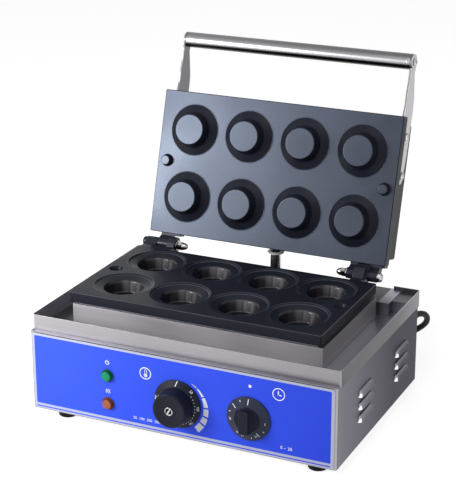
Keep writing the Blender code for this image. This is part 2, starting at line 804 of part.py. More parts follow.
def add_deck(shape, inset):
    """The deck and its wings as one stepped block, or the hollow under them."""
    bottom = TRAY_FLOOR + TOUCH_GAP - (CUT_OVERRUN if inset else 0)
    back = TRAY_BACK - SHEET - TOUCH_GAP - inset
    half = DECK_WIDTH / 2
    wing = TRAY_WIDTH / 2 - SHEET - TOUCH_GAP
    top = DECK_TOP - inset
    wing_top = DECK_WING_TOP - inset
    outline = [
        (-wing + inset, bottom), (wing - inset, bottom), (wing - inset, wing_top),
        (half - inset, wing_top), (half - inset, top), (inset - half, top),
        (inset - half, wing_top), (inset - wing, wing_top),
    ]
    add_prism(shape, outline, "Y", DECK_WING_FRONT + inset, back)


def add_deck_front(shape, inset):
    """The part of the deck in front of its wings."""
    bottom = TRAY_FLOOR + TOUCH_GAP - (CUT_OVERRUN if inset else 0)
    half = DECK_WIDTH / 2 - inset
    add_box(shape, (-half, DECK_FRONT + inset, bottom),
            (half, DECK_WING_FRONT + inset + JOIN_OVERLAP, DECK_TOP - inset))


def make_rear_deck(case, materials):
    shape = bmesh.new()
    add_deck(shape, 0)
    deck = finish(shape, "rear_deck", materials["steel"], case, smooth=False)
    nose = bmesh.new()
    add_deck_front(nose, 0)
    combine(deck, as_cutter(nose, "rear_deck_front", case), "UNION")
    corners = bmesh.new()
    half = TRAY_WIDTH / 2 - SHEET - TOUCH_GAP
    outline = rounded_rectangle((-half, TRAY_FRONT), (half, TRAY_BACK - SHEET - TOUCH_GAP),
                                TRAY_CORNER - SHEET - TOUCH_GAP)
    add_prism(corners, outline, "Z", TRAY_FLOOR, TRAY_RIM)
    combine(deck, as_cutter(corners, "rear_deck_corners", case), "INTERSECT")
    hollow = bmesh.new()
    add_deck(hollow, SHEET)
    combine(deck, as_cutter(hollow, "rear_deck_hollow", case), "DIFFERENCE")
    hollow = bmesh.new()
    add_deck_front(hollow, SHEET)
    combine(deck, as_cutter(hollow, "rear_deck_front_hollow", case), "DIFFERENCE")
    hole = bmesh.new()
    reach = SHEET + CUT_OVERRUN
    add_turned(hole, ((WIRE_HOLE, -reach), (WIRE_HOLE, reach)),
               (SLEEVE_X, SLEEVE_Y, DECK_TOP), "Z", SMALL_ROUND_STEPS)
    combine(deck, as_cutter(hole, "rear_deck_hole", case), "DIFFERENCE")


def make_heater_box(case, materials):
    half = BOX_WIDTH / 2
    box = box_piece("heater_box", (-half, BOX_FRONT, TRAY_FLOOR + TOUCH_GAP),
                    (half, BOX_BACK, BOX_TOP), materials["steel"], case)
    hollow = bmesh.new()
    add_box(hollow, (SHEET - half, BOX_FRONT + SHEET, TRAY_FLOOR - CUT_OVERRUN),
            (half - SHEET, BOX_BACK - SHEET, BOX_TOP - SHEET))
    combine(box, as_cutter(hollow, "heater_box_hollow", case), "DIFFERENCE")
    mouth = bmesh.new()
    half = FRAME_WIDTH / 2 + TOUCH_GAP
    add_box(mouth, (-half, FRAME_FRONT - TOUCH_GAP, BOX_TOP - SHEET - CUT_OVERRUN),
            (half, FRAME_BACK + TOUCH_GAP, BOX_TOP + CUT_OVERRUN))
    combine(box, as_cutter(mouth, "heater_box_mouth", case), "DIFFERENCE")


def make_inner_frame(case, materials):
    half = FRAME_WIDTH / 2
    frame = box_piece("inner_frame", (-half, FRAME_FRONT, FRAME_BOTTOM),
                      (half, FRAME_BACK, FRAME_TOP), materials["steel"], case)
    hollow = bmesh.new()
    add_box(hollow, (FRAME_SHEET - half, FRAME_FRONT + FRAME_SHEET, FRAME_BOTTOM - CUT_OVERRUN),
            (half - FRAME_SHEET, FRAME_BACK - FRAME_SHEET, FRAME_TOP + CUT_OVERRUN))
    combine(frame, as_cutter(hollow, "inner_frame_hollow", case), "DIFFERENCE")


def make_feet(case, materials):
    profile = (
        (0, FOOT_RECESS_DEPTH), (FOOT_RECESS_RADIUS, FOOT_RECESS_DEPTH), (FOOT_RECESS_RADIUS, 0),
        (FOOT_RADIUS - FOOT_EDGE, 0), (FOOT_RADIUS, FOOT_EDGE),
        (FOOT_TOP_RADIUS, FOOT_HEIGHT - TOUCH_GAP), (0, FOOT_HEIGHT - TOUCH_GAP),
    )
    x = CASE_WIDTH / 2 - FOOT_INSET_X
    rows = (("front", FOOT_INSET_Y), ("rear", CASE_DEPTH - FOOT_INSET_Y))
    for row, y in rows:
        for side, across in (("left", -x), ("right", x)):
            turned_piece(f"foot_{row}_{side}", profile, (across, y, TABLE), "Z",
                         materials["rubber"], case, MEDIUM_ROUND_STEPS)


# Hinge lugs, shared by both plates

def tangent_angle(point, outward):
    """Angle on the knuckle circle where a line from the point touches it."""
    dy, dz = point[0] - HINGE_Y, point[1] - HINGE_Z
    spread = math.acos(KNUCKLE_RADIUS / math.hypot(dy, dz))
    return math.atan2(dz, dy) + outward * spread


def lug_outline(front, back, low, high):
    """A block from front to back that runs into the round knuckle, as (y, z) pairs."""
    start = tangent_angle((back, low), 1)
    end = tangent_angle((back, high), -1)
    while end < start:
        end += 2 * math.pi
    points = [(front, high), (front, low), (back, low)]
    for step in range(HEX_ROUND_STEPS + 1):
        angle = start + (end - start) * step / HEX_ROUND_STEPS
        points.append((HINGE_Y + KNUCKLE_RADIUS * math.cos(angle),
                       HINGE_Z + KNUCKLE_RADIUS * math.sin(angle)))
    points.append((back, high))
    return points


def hinge_slots():
    """Spans across of each lug: for the lower plate, for the lid, and the ends of each stack."""
    x = LEFT_KNUCKLE_OUTER_END
    outer = (x, x + LEFT_FORK_OUTER)
    knuckle = (outer[1] + TOUCH_GAP, outer[1] + TOUCH_GAP + LEFT_LID_KNUCKLE)
    inner = (knuckle[1] + TOUCH_GAP, knuckle[1] + TOUCH_GAP + LEFT_FORK_INNER)
    x = RIGHT_KNUCKLE_OUTER_END
    lid_outer = (x - RIGHT_FORK_OUTER, x)
    high = lid_outer[0] - RIGHT_OUTER_PLAY
    lower = (high - RIGHT_LOWER_KNUCKLE, high)
    high = lower[0] - TOUCH_GAP
    lid_inner = (high - RIGHT_FORK_INNER, high)
    return {
        "lower": (outer, inner, lower),
        "lid": (knuckle, lid_outer, lid_inner),
        "left_block": (outer[0], inner[1]),
        "right_block": lower,
        "left_end": inner[1],
        "right_end": lid_inner[0],
    }


def bolt_bores(name, parent):
    """One bore through each hinge stack."""
    shape = bmesh.new()
    radius = HINGE_BOLT_RADIUS + SHAFT_CLEARANCE
    slots = hinge_slots()
    spans = (
        (LEFT_KNUCKLE_OUTER_END - CUT_OVERRUN, slots["left_end"] + CUT_OVERRUN),
        (slots["right_end"] - CUT_OVERRUN, RIGHT_KNUCKLE_OUTER_END + CUT_OVERRUN),
    )
    for low, high in spans:
        add_turned(shape, ((radius, low), (radius, high)), (0, HINGE_Y, HINGE_Z), "X",
                   MEDIUM_ROUND_STEPS)
    return as_cutter(shape, name, parent)


# Lower plate

def make_lower_plate(case, materials):
    half = PLATE_WIDTH / 2
    shape = bmesh.new()
    add_prism(shape, rounded_rectangle((-half, PLATE_FRONT), (half, PLATE_BACK), PLATE_CORNER),
              "Z", PLATE_BOTTOM, PLATE_TOP)
    plate = finish(shape, "lower_plate", materials["coated"], case)
    soften(plate, PLATE_EDGE)
    combine(plate, lower_plate_additions(case), "UNION")
    combine(plate, lower_plate_blocks(case), "UNION")
    combine(plate, lower_plate_cuts(case), "DIFFERENCE")
    combine(plate, bolt_bores("lower_bolt_bores", case), "DIFFERENCE")


def lower_plate_additions(case):
    """The cups' undersides and the hinge lugs."""
    draft = (CUP_WELL_RADIUS - CUP_FLOOR_RADIUS) / (CUP_DEPTH - CUP_WELL_DEPTH)
    shape = bmesh.new()
    bottom = CUP_DEPTH + CUP_WALL
    thickness = PLATE_TOP - PLATE_BOTTOM
    start = thickness - JOIN_OVERLAP
    low_radius = CUP_FLOOR_RADIUS + CUP_WALL
    high_radius = low_radius + draft * (bottom - start)
    for x, y in cup_places():
        add_turned(shape, ((low_radius, -bottom), (high_radius, -start)), (x, y, PLATE_TOP), "Z",
                   MINOR_ROUND_STEPS)
    for low, high in hinge_slots()["lower"]:
        outline = lug_outline(PLATE_BACK - JOIN_OVERLAP, LOWER_LUG_BACK, PLATE_BOTTOM, PLATE_TOP)
        add_prism(shape, outline, "X", low, high)
    return as_cutter(shape, "lower_plate_additions", case)


def lower_plate_blocks(case):
    """The webs that tie each group of lower lugs together."""
    slots = hinge_slots()
    inset = PLATE_EDGE
    shape = bmesh.new()
    for low, high in (slots["left_block"], slots["right_block"]):
        add_box(shape, (low + inset, PLATE_BACK - JOIN_OVERLAP - inset, PLATE_BOTTOM + inset),
                (high - inset, LUG_BLOCK_BACK, PLATE_TOP - inset))
    return as_cutter(shape, "lower_plate_blocks", case)


def lower_plate_cuts(case):
    """The cups and the two locating holes."""
    cup = (
        (0, CUT_OVERRUN), (CUP_RIM_RADIUS, CUT_OVERRUN), (CUP_RIM_RADIUS, 0),
        (CUP_LEDGE_RADIUS, -CUP_LEDGE_DEPTH), (CUP_WELL_RADIUS, -CUP_WELL_DEPTH),
        (CUP_FLOOR_RADIUS, -CUP_DEPTH), (0, -CUP_DEPTH),
    )
    depth = PIN_HEIGHT - CLOSED_GAP + TOUCH_GAP
    floor = PIN_TIP_RADIUS + PIN_HOLE_CLEARANCE
    hole = (
        (0, CUT_OVERRUN), (PIN_HOLE_TOP_RADIUS, CUT_OVERRUN), (PIN_HOLE_TOP_RADIUS, 0),
        (floor, -depth), (0, -depth),
    )
    shape = bmesh.new()
    for x, y in cup_places():
        add_turned(shape, cup, (x, y, PLATE_TOP), "Z")
    for x in (-PIN_X, PIN_X):
        add_turned(shape, hole, (x, PIN_Y, PLATE_TOP), "Z", MEDIUM_ROUND_STEPS)
    return as_cutter(shape, "lower_plate_cuts", case)


def element_corners(edge_gap, z, cold_end, down):
    """Corners of the element's path: four runs between and beside the cups, ends at the back."""
    side = FRAME_WIDTH / 2 - edge_gap
    front = FRAME_FRONT + edge_gap
    back = FRAME_BACK - edge_gap
    between = CUP_PITCH_X * (CUPS_ACROSS / 2 - 1)
    end = z - cold_end if down else z + cold_end
    return (
        (-side, back, end), (-side, back, z), (-side, front, z), (-between, front, z),
        (-between, back, z), (between, back, z), (between, front, z), (side, front, z),
        (side, back, z), (side, back, end),
    )


def make_lower_heating(case, materials):
    path = rounded_route(element_corners(ELEMENT_EDGE_GAP, LOWER_ELEMENT_Z, COLD_END, True),
                         ELEMENT_BEND, ELEMENT_BEND_STEPS)
    tube_piece("lower_element", path, ELEMENT_RADIUS, 1, materials["element"], case)
    low, high = tray_window()
    shield_bottom = TRAY_FLOOR + TOUCH_GAP
    shield = box_piece(
        "heat_shield",
        (low[0] - SHIELD_MARGIN, low[1] - SHIELD_MARGIN, shield_bottom),
        (high[0] + SHIELD_MARGIN, high[1] + SHIELD_MARGIN, shield_bottom + SHEET),
        materials["steel"], case)
    holes = bmesh.new()
    side = FRAME_WIDTH / 2 - ELEMENT_EDGE_GAP
    reach = SHEET + CUT_OVERRUN
    back = FRAME_BACK - ELEMENT_EDGE_GAP
    for x, y in ((-side, back), (side, back), (side, plate_middle_y())):
        add_turned(holes, ((SHIELD_HOLE_RADIUS, -reach), (SHIELD_HOLE_RADIUS, reach)),
                   (x, y, shield_bottom), "Z", SMALL_ROUND_STEPS)
    combine(shield, as_cutter(holes, "shield_holes", case), "DIFFERENCE")
    half = LOWER_PAD_WIDTH / 2
    box_piece("lower_insulation", (-half, LOWER_PAD_FRONT, shield_bottom + SHEET + TOUCH_GAP),
              (half, LOWER_PAD_BACK, LOWER_PAD_TOP), materials["pad"], case)


# Controls

def make_knob_body(name, x, z, size, length, case, materials):
    """A switch body behind the panel, bored for its shaft."""
    front = SHEET + BODY_FRONT_GAP
    half = size / 2
    body = box_piece(name, (x - half, front, z - half), (x + half, front + length, z + half),
                     materials["grey"], case)
    bore = bmesh.new()
    radius = SHAFT_RADIUS + SHAFT_CLEARANCE
    add_turned(bore, ((radius, -CUT_OVERRUN), (radius, SHAFT_IN_BODY + SHAFT_CLEARANCE)),
               (x, front, z), "Y", SMALL_ROUND_STEPS)
    combine(body, as_cutter(bore, f"{name}_bore", case), "DIFFERENCE")


def make_shaft(name, axis, materials):
    """From inside the knob to inside the switch body."""
    front = -SHAFT_IN_KNOB
    back = SHEET + BODY_FRONT_GAP + SHAFT_IN_BODY - KNOB_BACK
    turned_piece(name, ((SHAFT_RADIUS, front), (SHAFT_RADIUS, back)), (0, 0, 0), "Y",
                 materials["polished"], axis, SMALL_ROUND_STEPS)


def make_temperature_knob(case, materials):
    axis = new_empty("temperature_axis", (TEMPERATURE_X, KNOB_BACK, TEMPERATURE_Z), case)
    bore = SHAFT_RADIUS + SHAFT_CLEARANCE
    pocket = CAP_RADIUS + SHAFT_CLEARANCE
    face = TEMPERATURE_LENGTH - FACE_DISH
    profile = (
        (0, SHAFT_IN_KNOB + SHAFT_CLEARANCE), (bore, SHAFT_IN_KNOB + SHAFT_CLEARANCE), (bore, 0),
        (TEMPERATURE_SKIRT_RADIUS, 0), (TEMPERATURE_SKIRT_RADIUS, SKIRT_RIM),
        (TEMPERATURE_GRIP_RADIUS, SKIRT_HEIGHT),
        (TEMPERATURE_GRIP_RADIUS, TEMPERATURE_LENGTH - GRIP_ROUNDING),
        (TEMPERATURE_GRIP_RADIUS - GRIP_ROUNDING, TEMPERATURE_LENGTH),
        (pocket, face), (pocket, face - CAP_POCKET_DEPTH), (0, face - CAP_POCKET_DEPTH),
    )
    turned_piece("temperature_knob", profile, (0, 0, 0), "-Y", materials["black"], axis)
    low = face - CAP_POCKET_DEPTH + TOUCH_GAP
    high = face + CAP_PROUD
    cap = turned_piece("temperature_knob_cap", ((CAP_RADIUS, low), (CAP_RADIUS, high)),
                       (0, 0, 0), "-Y", materials["polished"], axis, MEDIUM_ROUND_STEPS)
    slot = bmesh.new()
    half = CAP_SLOT_WIDTH / 2
    reach = CAP_RADIUS + CUT_OVERRUN
    add_box(slot, (-half, -high - CUT_OVERRUN, -reach), (half, CAP_SLOT_DEPTH - high, reach))
    bmesh.ops.rotate(slot, cent=(0, 0, 0), verts=slot.verts,
                     matrix=Matrix.Rotation(-CAP_SLOT_ANGLE, 3, "Y"))
    combine(cap, as_cutter(slot, "cap_slot", axis), "DIFFERENCE")
    make_shaft("thermostat_shaft", axis, materials)


def grip_outline(width, radius):
    """A bar with round ends, as (x, z) pairs."""
    half = width / 2
    corner = math.acos(half / radius)
    points = []
    for start in (corner, corner + math.pi):
        sweep = math.pi - 2 * corner
        for step in range(GRIP_END_STEPS + 1):
            angle = start + sweep * step / GRIP_END_STEPS
            points.append((radius * math.cos(angle), radius * math.sin(angle)))
    return points


def make_timer_knob(case, materials):
    axis = new_empty("timer_axis", (TIMER_X, KNOB_BACK, TIMER_Z), case)
    bore = SHAFT_RADIUS + SHAFT_CLEARANCE
    depth = SHAFT_IN_KNOB + SHAFT_CLEARANCE
    profile = (
        (TIMER_SKIRT_RADIUS, 0), (TIMER_SKIRT_RADIUS, SKIRT_RIM),
        (TIMER_BOSS_RADIUS, SKIRT_HEIGHT), (TIMER_BOSS_RADIUS, TIMER_BOSS_HEIGHT),
    )
    knob = turned_piece("timer_knob", profile, (0, 0, 0), "-Y", materials["black"], axis)
    bar = bmesh.new()
    near = grip_outline(TIMER_GRIP_BASE_WIDTH, TIMER_BOSS_RADIUS - SHAFT_CLEARANCE)
    far = grip_outline(TIMER_GRIP_FRONT_WIDTH, TIMER_GRIP_FRONT_RADIUS)
    start = -SKIRT_HEIGHT
    add_loft(bar, [[(x, start, z) for x, z in near], [(x, -TIMER_LENGTH, z) for x, z in far]])
    combine(knob, as_cutter(bar, "timer_grip", axis), "UNION")
    hole = bmesh.new()
    add_turned(hole, ((bore, -CUT_OVERRUN), (bore, depth)), (0, 0, 0), "-Y", SMALL_ROUND_STEPS)
    combine(knob, as_cutter(hole, "timer_knob_bore", axis), "DIFFERENCE")
    make_shaft("timer_shaft", axis, materials)


def make_lamp(name, x, z, lens, case, materials):
    hole = LENS_STEM_RADIUS + SHAFT_CLEARANCE
    back = LAMP_BODY_LENGTH
    gap = TOUCH_GAP
    front = BEZEL_HEIGHT
    bezel = (
        (hole, -back), (LAMP_BODY_RADIUS, -back), (LAMP_BODY_RADIUS, gap), (BEZEL_RADIUS, gap),
        (BEZEL_RADIUS, front - BEZEL_CHAMFER), (BEZEL_RADIUS - BEZEL_CHAMFER, front),
        (hole, front),
    )
    turned_piece(f"{name}_lamp_bezel", bezel, (x, FILM_FRONT, z), "-Y", materials["black"],
                 case, MEDIUM_ROUND_STEPS, ring=True)
    rim = front + gap
    dome = [(0, -LENS_STEM_LENGTH), (LENS_STEM_RADIUS, -LENS_STEM_LENGTH), (LENS_STEM_RADIUS, rim),
            (LENS_RADIUS, rim), (LENS_RADIUS, rim + LENS_RIM)]
    for step in range(1, CORNER_STEPS):
        angle = math.pi / 2 * step / CORNER_STEPS
        dome.append((LENS_RADIUS * math.cos(angle),
                     rim + LENS_RIM + (LENS_HEIGHT - LENS_RIM) * math.sin(angle)))
    dome.append((0, rim + LENS_HEIGHT))
    turned_piece(f"{name}_lamp_lens", dome, (x, FILM_FRONT, z), "-Y", materials[lens], case,
                 MINOR_ROUND_STEPS)


def make_thermostat_bulb(case, materials):
    """A thin tube from the thermostat, up beside the pad, to the bulb under the plate."""
    middle = plate_middle_y()
    bulb_z = PLATE_BOTTOM - TOUCH_GAP - BULB_RADIUS
    under = LOWER_ELEMENT_Z - ELEMENT_RADIUS - CAPILLARY_BEND / 2
    side = FRAME_WIDTH / 2 - ELEMENT_EDGE_GAP
    half = BULB_LENGTH / 2
    body_back = SHEET + BODY_FRONT_GAP + THERMOSTAT_LENGTH + TOUCH_GAP
    low = TRAY_FLOOR - COLD_END / 2
    edge = half + BULB_SHOULDER
    run = rounded_route(
        (
            (edge, middle, bulb_z), (edge + CAPILLARY_BEND * 2, middle, bulb_z),
            (edge + CAPILLARY_BEND * 2, middle, under), (side, middle, under),
            (side, middle, low), (TEMPERATURE_X, middle, low),
            (TEMPERATURE_X, middle, TEMPERATURE_Z), (TEMPERATURE_X, body_back, TEMPERATURE_Z),
        ),
        CAPILLARY_BEND / 2, CORNER_STEPS)
    points = [Vector((-half, middle, bulb_z)), Vector((half, middle, bulb_z))] + run
    thin = CAPILLARY_RADIUS / BULB_RADIUS
    tube_piece("thermostat_bulb", points, BULB_RADIUS, 1, materials["polished"], case,
               [1, 1] + [thin] * len(run))


def make_terminal_block(case, materials):
    half = TERMINAL_WIDTH / 2
    back = CASE_DEPTH - SHEET - TERMINAL_BACK_GAP
    low = SHEET + TOUCH_GAP
    block = box_piece("terminal_block", (TERMINAL_X - half, back - TERMINAL_DEPTH, low),
                      (TERMINAL_X + half, back, low + TERMINAL_HEIGHT), materials["ceramic"], case)
    slots = bmesh.new()
    pitch = TERMINAL_WIDTH / TERMINAL_WAYS
    for way in range(TERMINAL_WAYS):
        x = TERMINAL_X - half + pitch * way + pitch / 2
        add_turned(slots, ((TERMINAL_SLOT / 2, -CUT_OVERRUN), (TERMINAL_SLOT / 2, TERMINAL_SLOT)),
                   (x, back - TERMINAL_DEPTH / 2, low + TERMINAL_HEIGHT), "-Z", SMALL_ROUND_STEPS)
    combine(block, as_cutter(slots, "terminal_wells", case), "DIFFERENCE")


# Lid

def make_lid_plate(lid, materials):
    half = LID_PLATE_WIDTH / 2
    outline = rounded_rectangle((-half, LID_PLATE_FRONT), (half, LID_PLATE_BACK), PLATE_CORNER)
    shape = bmesh.new()
    add_prism(shape, outline, "Z", LID_FACE, LID_PLATE_TOP)
    plate = finish(shape, "lid_plate", materials["coated"], lid)
    soften(plate, PLATE_EDGE)
    combine(plate, lid_plate_additions(lid), "UNION")
    combine(plate, bolt_bores("lid_bolt_bores", lid), "DIFFERENCE")


def lid_plate_additions(lid):
    """Bosses, locating pins and hinge lugs."""
    boss = (
        (BOSS_FACE_RADIUS, BOSS_HEIGHT), (BOSS_STEP_RADIUS, BOSS_STEP_HEIGHT),
        (BOSS_BASE_RADIUS, 0), (BOSS_BASE_RADIUS, -JOIN_OVERLAP),
    )
    pin = (
        (PIN_TIP_RADIUS, PIN_HEIGHT), (PIN_BASE_RADIUS, 0), (PIN_BASE_RADIUS, -JOIN_OVERLAP),
    )
    shape = bmesh.new()
    for x, y in cup_places():
        add_turned(shape, boss, (x, y, LID_FACE), "-Z")
    for x in (-PIN_X, PIN_X):
        add_turned(shape, pin, (x, PIN_Y, LID_FACE), "-Z", MEDIUM_ROUND_STEPS)
    front = LID_PLATE_BACK - JOIN_OVERLAP
    for low, high in hinge_slots()["lid"]:
        outline = lug_outline(front, LID_LUG_BACK, LID_FACE + PLATE_EDGE, LID_LUG_TOP)
        add_prism(shape, outline, "X", low, high)
    return as_cutter(shape, "lid_plate_additions", lid)


def strap_screw_places():
    """The (y, z) places of the screws that hold a strap to the cover."""
    return ((STRAP_FRONT_SCREW_Y, STRAP_SCREW_Z), (STRAP_REAR_SCREW_Y, STRAP_SCREW_Z))


def screw_holes(name, places, span, lid):
    """Clearance holes right across, for the screws of both straps."""
    shape = bmesh.new()
    radius = SCREW_RADIUS + SHAFT_CLEARANCE
    for side in (-1, 1):
        low, high = sorted((side * span[0], side * span[1]))
        for y, z in places:
            add_turned(shape, ((radius, low), (radius, high)), (0, y, z), "X", SMALL_ROUND_STEPS)
    return as_cutter(shape, name, lid)


def make_lid_cover(lid, materials):
    half = COVER_WIDTH / 2
    outline = rounded_rectangle((-half, COVER_FRONT), (half, COVER_BACK), COVER_CORNER)
    shape = bmesh.new()
    add_prism(shape, outline, "Z", COVER_BOTTOM, COVER_TOP)
    cover = finish(shape, "lid_cover", materials["steel"], lid)
    hollow = bmesh.new()
    low = (SHEET - half, COVER_FRONT + SHEET)
    high = (half - SHEET, COVER_BACK - SHEET)
    add_prism(hollow, rounded_rectangle(low, high, COVER_CORNER - SHEET), "Z",
              COVER_BOTTOM - CUT_OVERRUN, COVER_TOP - SHEET)
    combine(cover, as_cutter(hollow, "lid_cover_hollow", lid), "DIFFERENCE")
    span = (half - SHEET - CUT_OVERRUN, half + CUT_OVERRUN)
    combine(cover, screw_holes("cover_screw_holes", strap_screw_places(), span, lid),
            "DIFFERENCE")
    hole = bmesh.new()
    reach = SHEET + CUT_OVERRUN
    add_turned(hole, ((WIRE_HOLE, -reach), (WIRE_HOLE, reach)),
               (SLEEVE_X, COVER_BACK, LID_GLAND_Z), "Y", SMALL_ROUND_STEPS)
    combine(cover, as_cutter(hole, "cover_wire_hole", lid), "DIFFERENCE")


def make_upper_heating(lid, materials):
    corners = element_corners(UPPER_ELEMENT_EDGE_GAP, UPPER_ELEMENT_Z, UPPER_COLD_END, False)
    path = rounded_route(corners[1:-1], ELEMENT_BEND, ELEMENT_BEND_STEPS)
    tube_piece("upper_element", path, ELEMENT_RADIUS, 1, materials["element"], lid)
    half = COVER_WIDTH / 2 - SHEET
    bottom = UPPER_ELEMENT_Z + ELEMENT_RADIUS + TOUCH_GAP
    clamp_low = (CLAMP_MARGIN - half, COVER_FRONT + SHEET + CLAMP_MARGIN, bottom)
    clamp_high = (half - CLAMP_MARGIN, COVER_BACK - SHEET - CLAMP_MARGIN, bottom + CLAMP_THICKNESS)
    box_piece("upper_clamp_plate", clamp_low, clamp_high, materials["steel"], lid)
    bottom += CLAMP_THICKNESS + TOUCH_GAP
    pad_low = (PAD_MARGIN - half, COVER_FRONT + SHEET + PAD_MARGIN, bottom)
    pad_high = (half - PAD_MARGIN, COVER_BACK - SHEET - PAD_MARGIN, bottom + PAD_THICKNESS)
    box_piece("upper_insulation", pad_low, pad_high, materials["pad"], lid)


def strap_outline():
    """The strap's side view, as (y, z) pairs, with a round end about the tube."""
    length, height = STRAP_BACK - TUBE_Y, STRAP_HIGH - STRAP_LOW
    points = [(TUBE_Y + along * length, STRAP_LOW + up * height) for along, up in STRAP_SHARES]
    sweep = STRAP_EYE_END - STRAP_EYE_START
    for step in range(2 * CORNER_STEPS + 1):
        angle = STRAP_EYE_START + sweep * step / (2 * CORNER_STEPS)
        points.append((TUBE_Y + TUBE_RADIUS * math.cos(angle),
                       TUBE_Z + TUBE_RADIUS * math.sin(angle)))
    return points


def make_straps(lid, materials):
    places = strap_screw_places() + ((TUBE_Y, TUBE_Z),)
    span = (STRAP_INNER - CUT_OVERRUN, STRAP_OUTER + CUT_OVERRUN)
    holes = screw_holes("strap_screw_holes", places, span, lid)
    for side, name in ((-1, "left"), (1, "right")):
        low, high = sorted((side * STRAP_INNER, side * STRAP_OUTER))
        shape = bmesh.new()
        add_prism(shape, strap_outline(), "X", low, high)
        strap = finish(shape, f"handle_strap_{name}", materials["steel"], lid, smooth=False)
        combine(strap, holes, "DIFFERENCE")


def make_handle(lid, materials):
    half = STRAP_INNER - TOUCH_GAP
    hole = SCREW_RADIUS + SHAFT_CLEARANCE
    bore = TUBE_RADIUS - TUBE_WALL
    inner = half - TUBE_END_CAP
    profile = (
        (hole, -half), (TUBE_RADIUS, -half), (TUBE_RADIUS, half), (hole, half),
        (hole, inner), (bore, inner), (bore, -inner), (hole, -inner),
    )
    turned_piece("handle_tube", profile, (0, TUBE_Y, TUBE_Z), "X", materials["polished"], lid,
                 ring=True)


def make_screw(name, side, y, z, lid, materials):
    """A domed screw from the strap's outer face inwards."""
    domed = SCREW_HEAD_HEIGHT * SCREW_HEAD_DOME_SHARE
    profile = (
        (0, -SCREW_REACH), (SCREW_RADIUS, -SCREW_REACH), (SCREW_RADIUS, TOUCH_GAP),
        (SCREW_HEAD_RADIUS, TOUCH_GAP), (SCREW_HEAD_RADIUS, SCREW_HEAD_HEIGHT - domed),
        (SCREW_HEAD_RADIUS * SCREW_HEAD_DOME_SHARE, SCREW_HEAD_HEIGHT), (0, SCREW_HEAD_HEIGHT),
    )
    turned_piece(name, profile, (side * STRAP_OUTER, y, z), "X" if side > 0 else "-X",
                 materials["polished"], lid, SMALL_ROUND_STEPS)


def make_strap_screws(lid, materials):
    for side, name in ((-1, "left"), (1, "right")):
        make_screw(f"handle_screw_{name}", side, TUBE_Y, TUBE_Z, lid, materials)
        make_screw(f"strap_front_screw_{name}", side, STRAP_FRONT_SCREW_Y, STRAP_SCREW_Z, lid,
                   materials)
        make_screw(f"strap_rear_screw_{name}", side, STRAP_REAR_SCREW_Y, STRAP_SCREW_Z, lid,
                   materials)


# Hinge bolts

def make_hinge_bolt(name, start, end, inward, case, materials):
    """A round-headed bolt, a washer and a dome nut. Heights run from the outer face inwards."""
    span = abs(end - start)
    washer = span + TOUCH_GAP
    nut = washer + WASHER_THICKNESS + TOUCH_GAP
    bore_end = nut + NUT_LENGTH * NUT_BORE_SHARE
    hex_end = nut + NUT_LENGTH * NUT_HEX_SHARE
    axis = "X" if inward > 0 else "-X"
    centre = (start, HINGE_Y, HINGE_Z)
    clear = HINGE_BOLT_RADIUS + SHAFT_CLEARANCE
    head = BOLT_HEAD_LENGTH + TOUCH_GAP
    bolt = (
        (0, -head), (BOLT_HEAD_RADIUS * SCREW_HEAD_DOME_SHARE, -head),
        (BOLT_HEAD_RADIUS, -head + BOLT_HEAD_LENGTH * (1 - SCREW_HEAD_DOME_SHARE)),
        (BOLT_HEAD_RADIUS, -TOUCH_GAP), (HINGE_BOLT_RADIUS, -TOUCH_GAP),
        (HINGE_BOLT_RADIUS, bore_end - TOUCH_GAP), (0, bore_end - TOUCH_GAP),
    )
    turned_piece(f"hinge_bolt_{name}", bolt, centre, axis, materials["polished"], case,
                 MEDIUM_ROUND_STEPS)
    ring = (
        (clear, washer), (WASHER_RADIUS, washer), (WASHER_RADIUS, washer + WASHER_THICKNESS),
        (clear, washer + WASHER_THICKNESS),
    )
    turned_piece(f"hinge_washer_{name}", ring, centre, axis, materials["polished"], case,
                 MINOR_ROUND_STEPS, ring=True)
    profile = [(0, bore_end), (clear, bore_end), (clear, nut), (NUT_FLAT_RADIUS, nut, True),
               (NUT_FLAT_RADIUS, hex_end, True)]
    reach = NUT_LENGTH * (1 - NUT_HEX_SHARE)
    for step in range(CORNER_STEPS):
        angle = math.pi / 2 * step / CORNER_STEPS
        profile.append((NUT_FLAT_RADIUS * math.cos(angle), hex_end + reach * math.sin(angle)))
    profile.append((0, hex_end + reach))
    turned_piece(f"hinge_nut_{name}", profile, centre, axis, materials["polished"], case,
                 HEX_ROUND_STEPS)


# Sleeve, lead and the lid's gland

def lead_route():
    """Straight up through the sleeve, then a smooth bend that meets the lid's gland squarely."""
    base = Vector((SLEEVE_X, SLEEVE_Y, DECK_TOP + 2 * TOUCH_GAP))
    low = Vector((SLEEVE_X, SLEEVE_Y, DECK_TOP + SLEEVE_HEIGHT - LEAD_BEND_START))
    towards = Vector((0, -math.cos(OPEN_ANGLE), math.sin(OPEN_ANGLE)))
    end = Vector((SLEEVE_X, *opened(COVER_BACK + TOUCH_GAP, LID_GLAND_Z)))
    high = end - towards * LID_GLAND_THICKNESS
    reach = (high - low).length / 3
    controls = (low, low + Vector((0, 0, reach)), high - towards * reach, high)
    points = [base]
    for step in range(LEAD_STEPS + 1):
        t = step / LEAD_STEPS
        weights = ((1 - t) ** 3, 3 * t * (1 - t) ** 2, 3 * t * t * (1 - t), t ** 3)
        points.append(sum((c * w for c, w in zip(controls, weights)), Vector((0, 0, 0))))
    points.append(end)
    return points


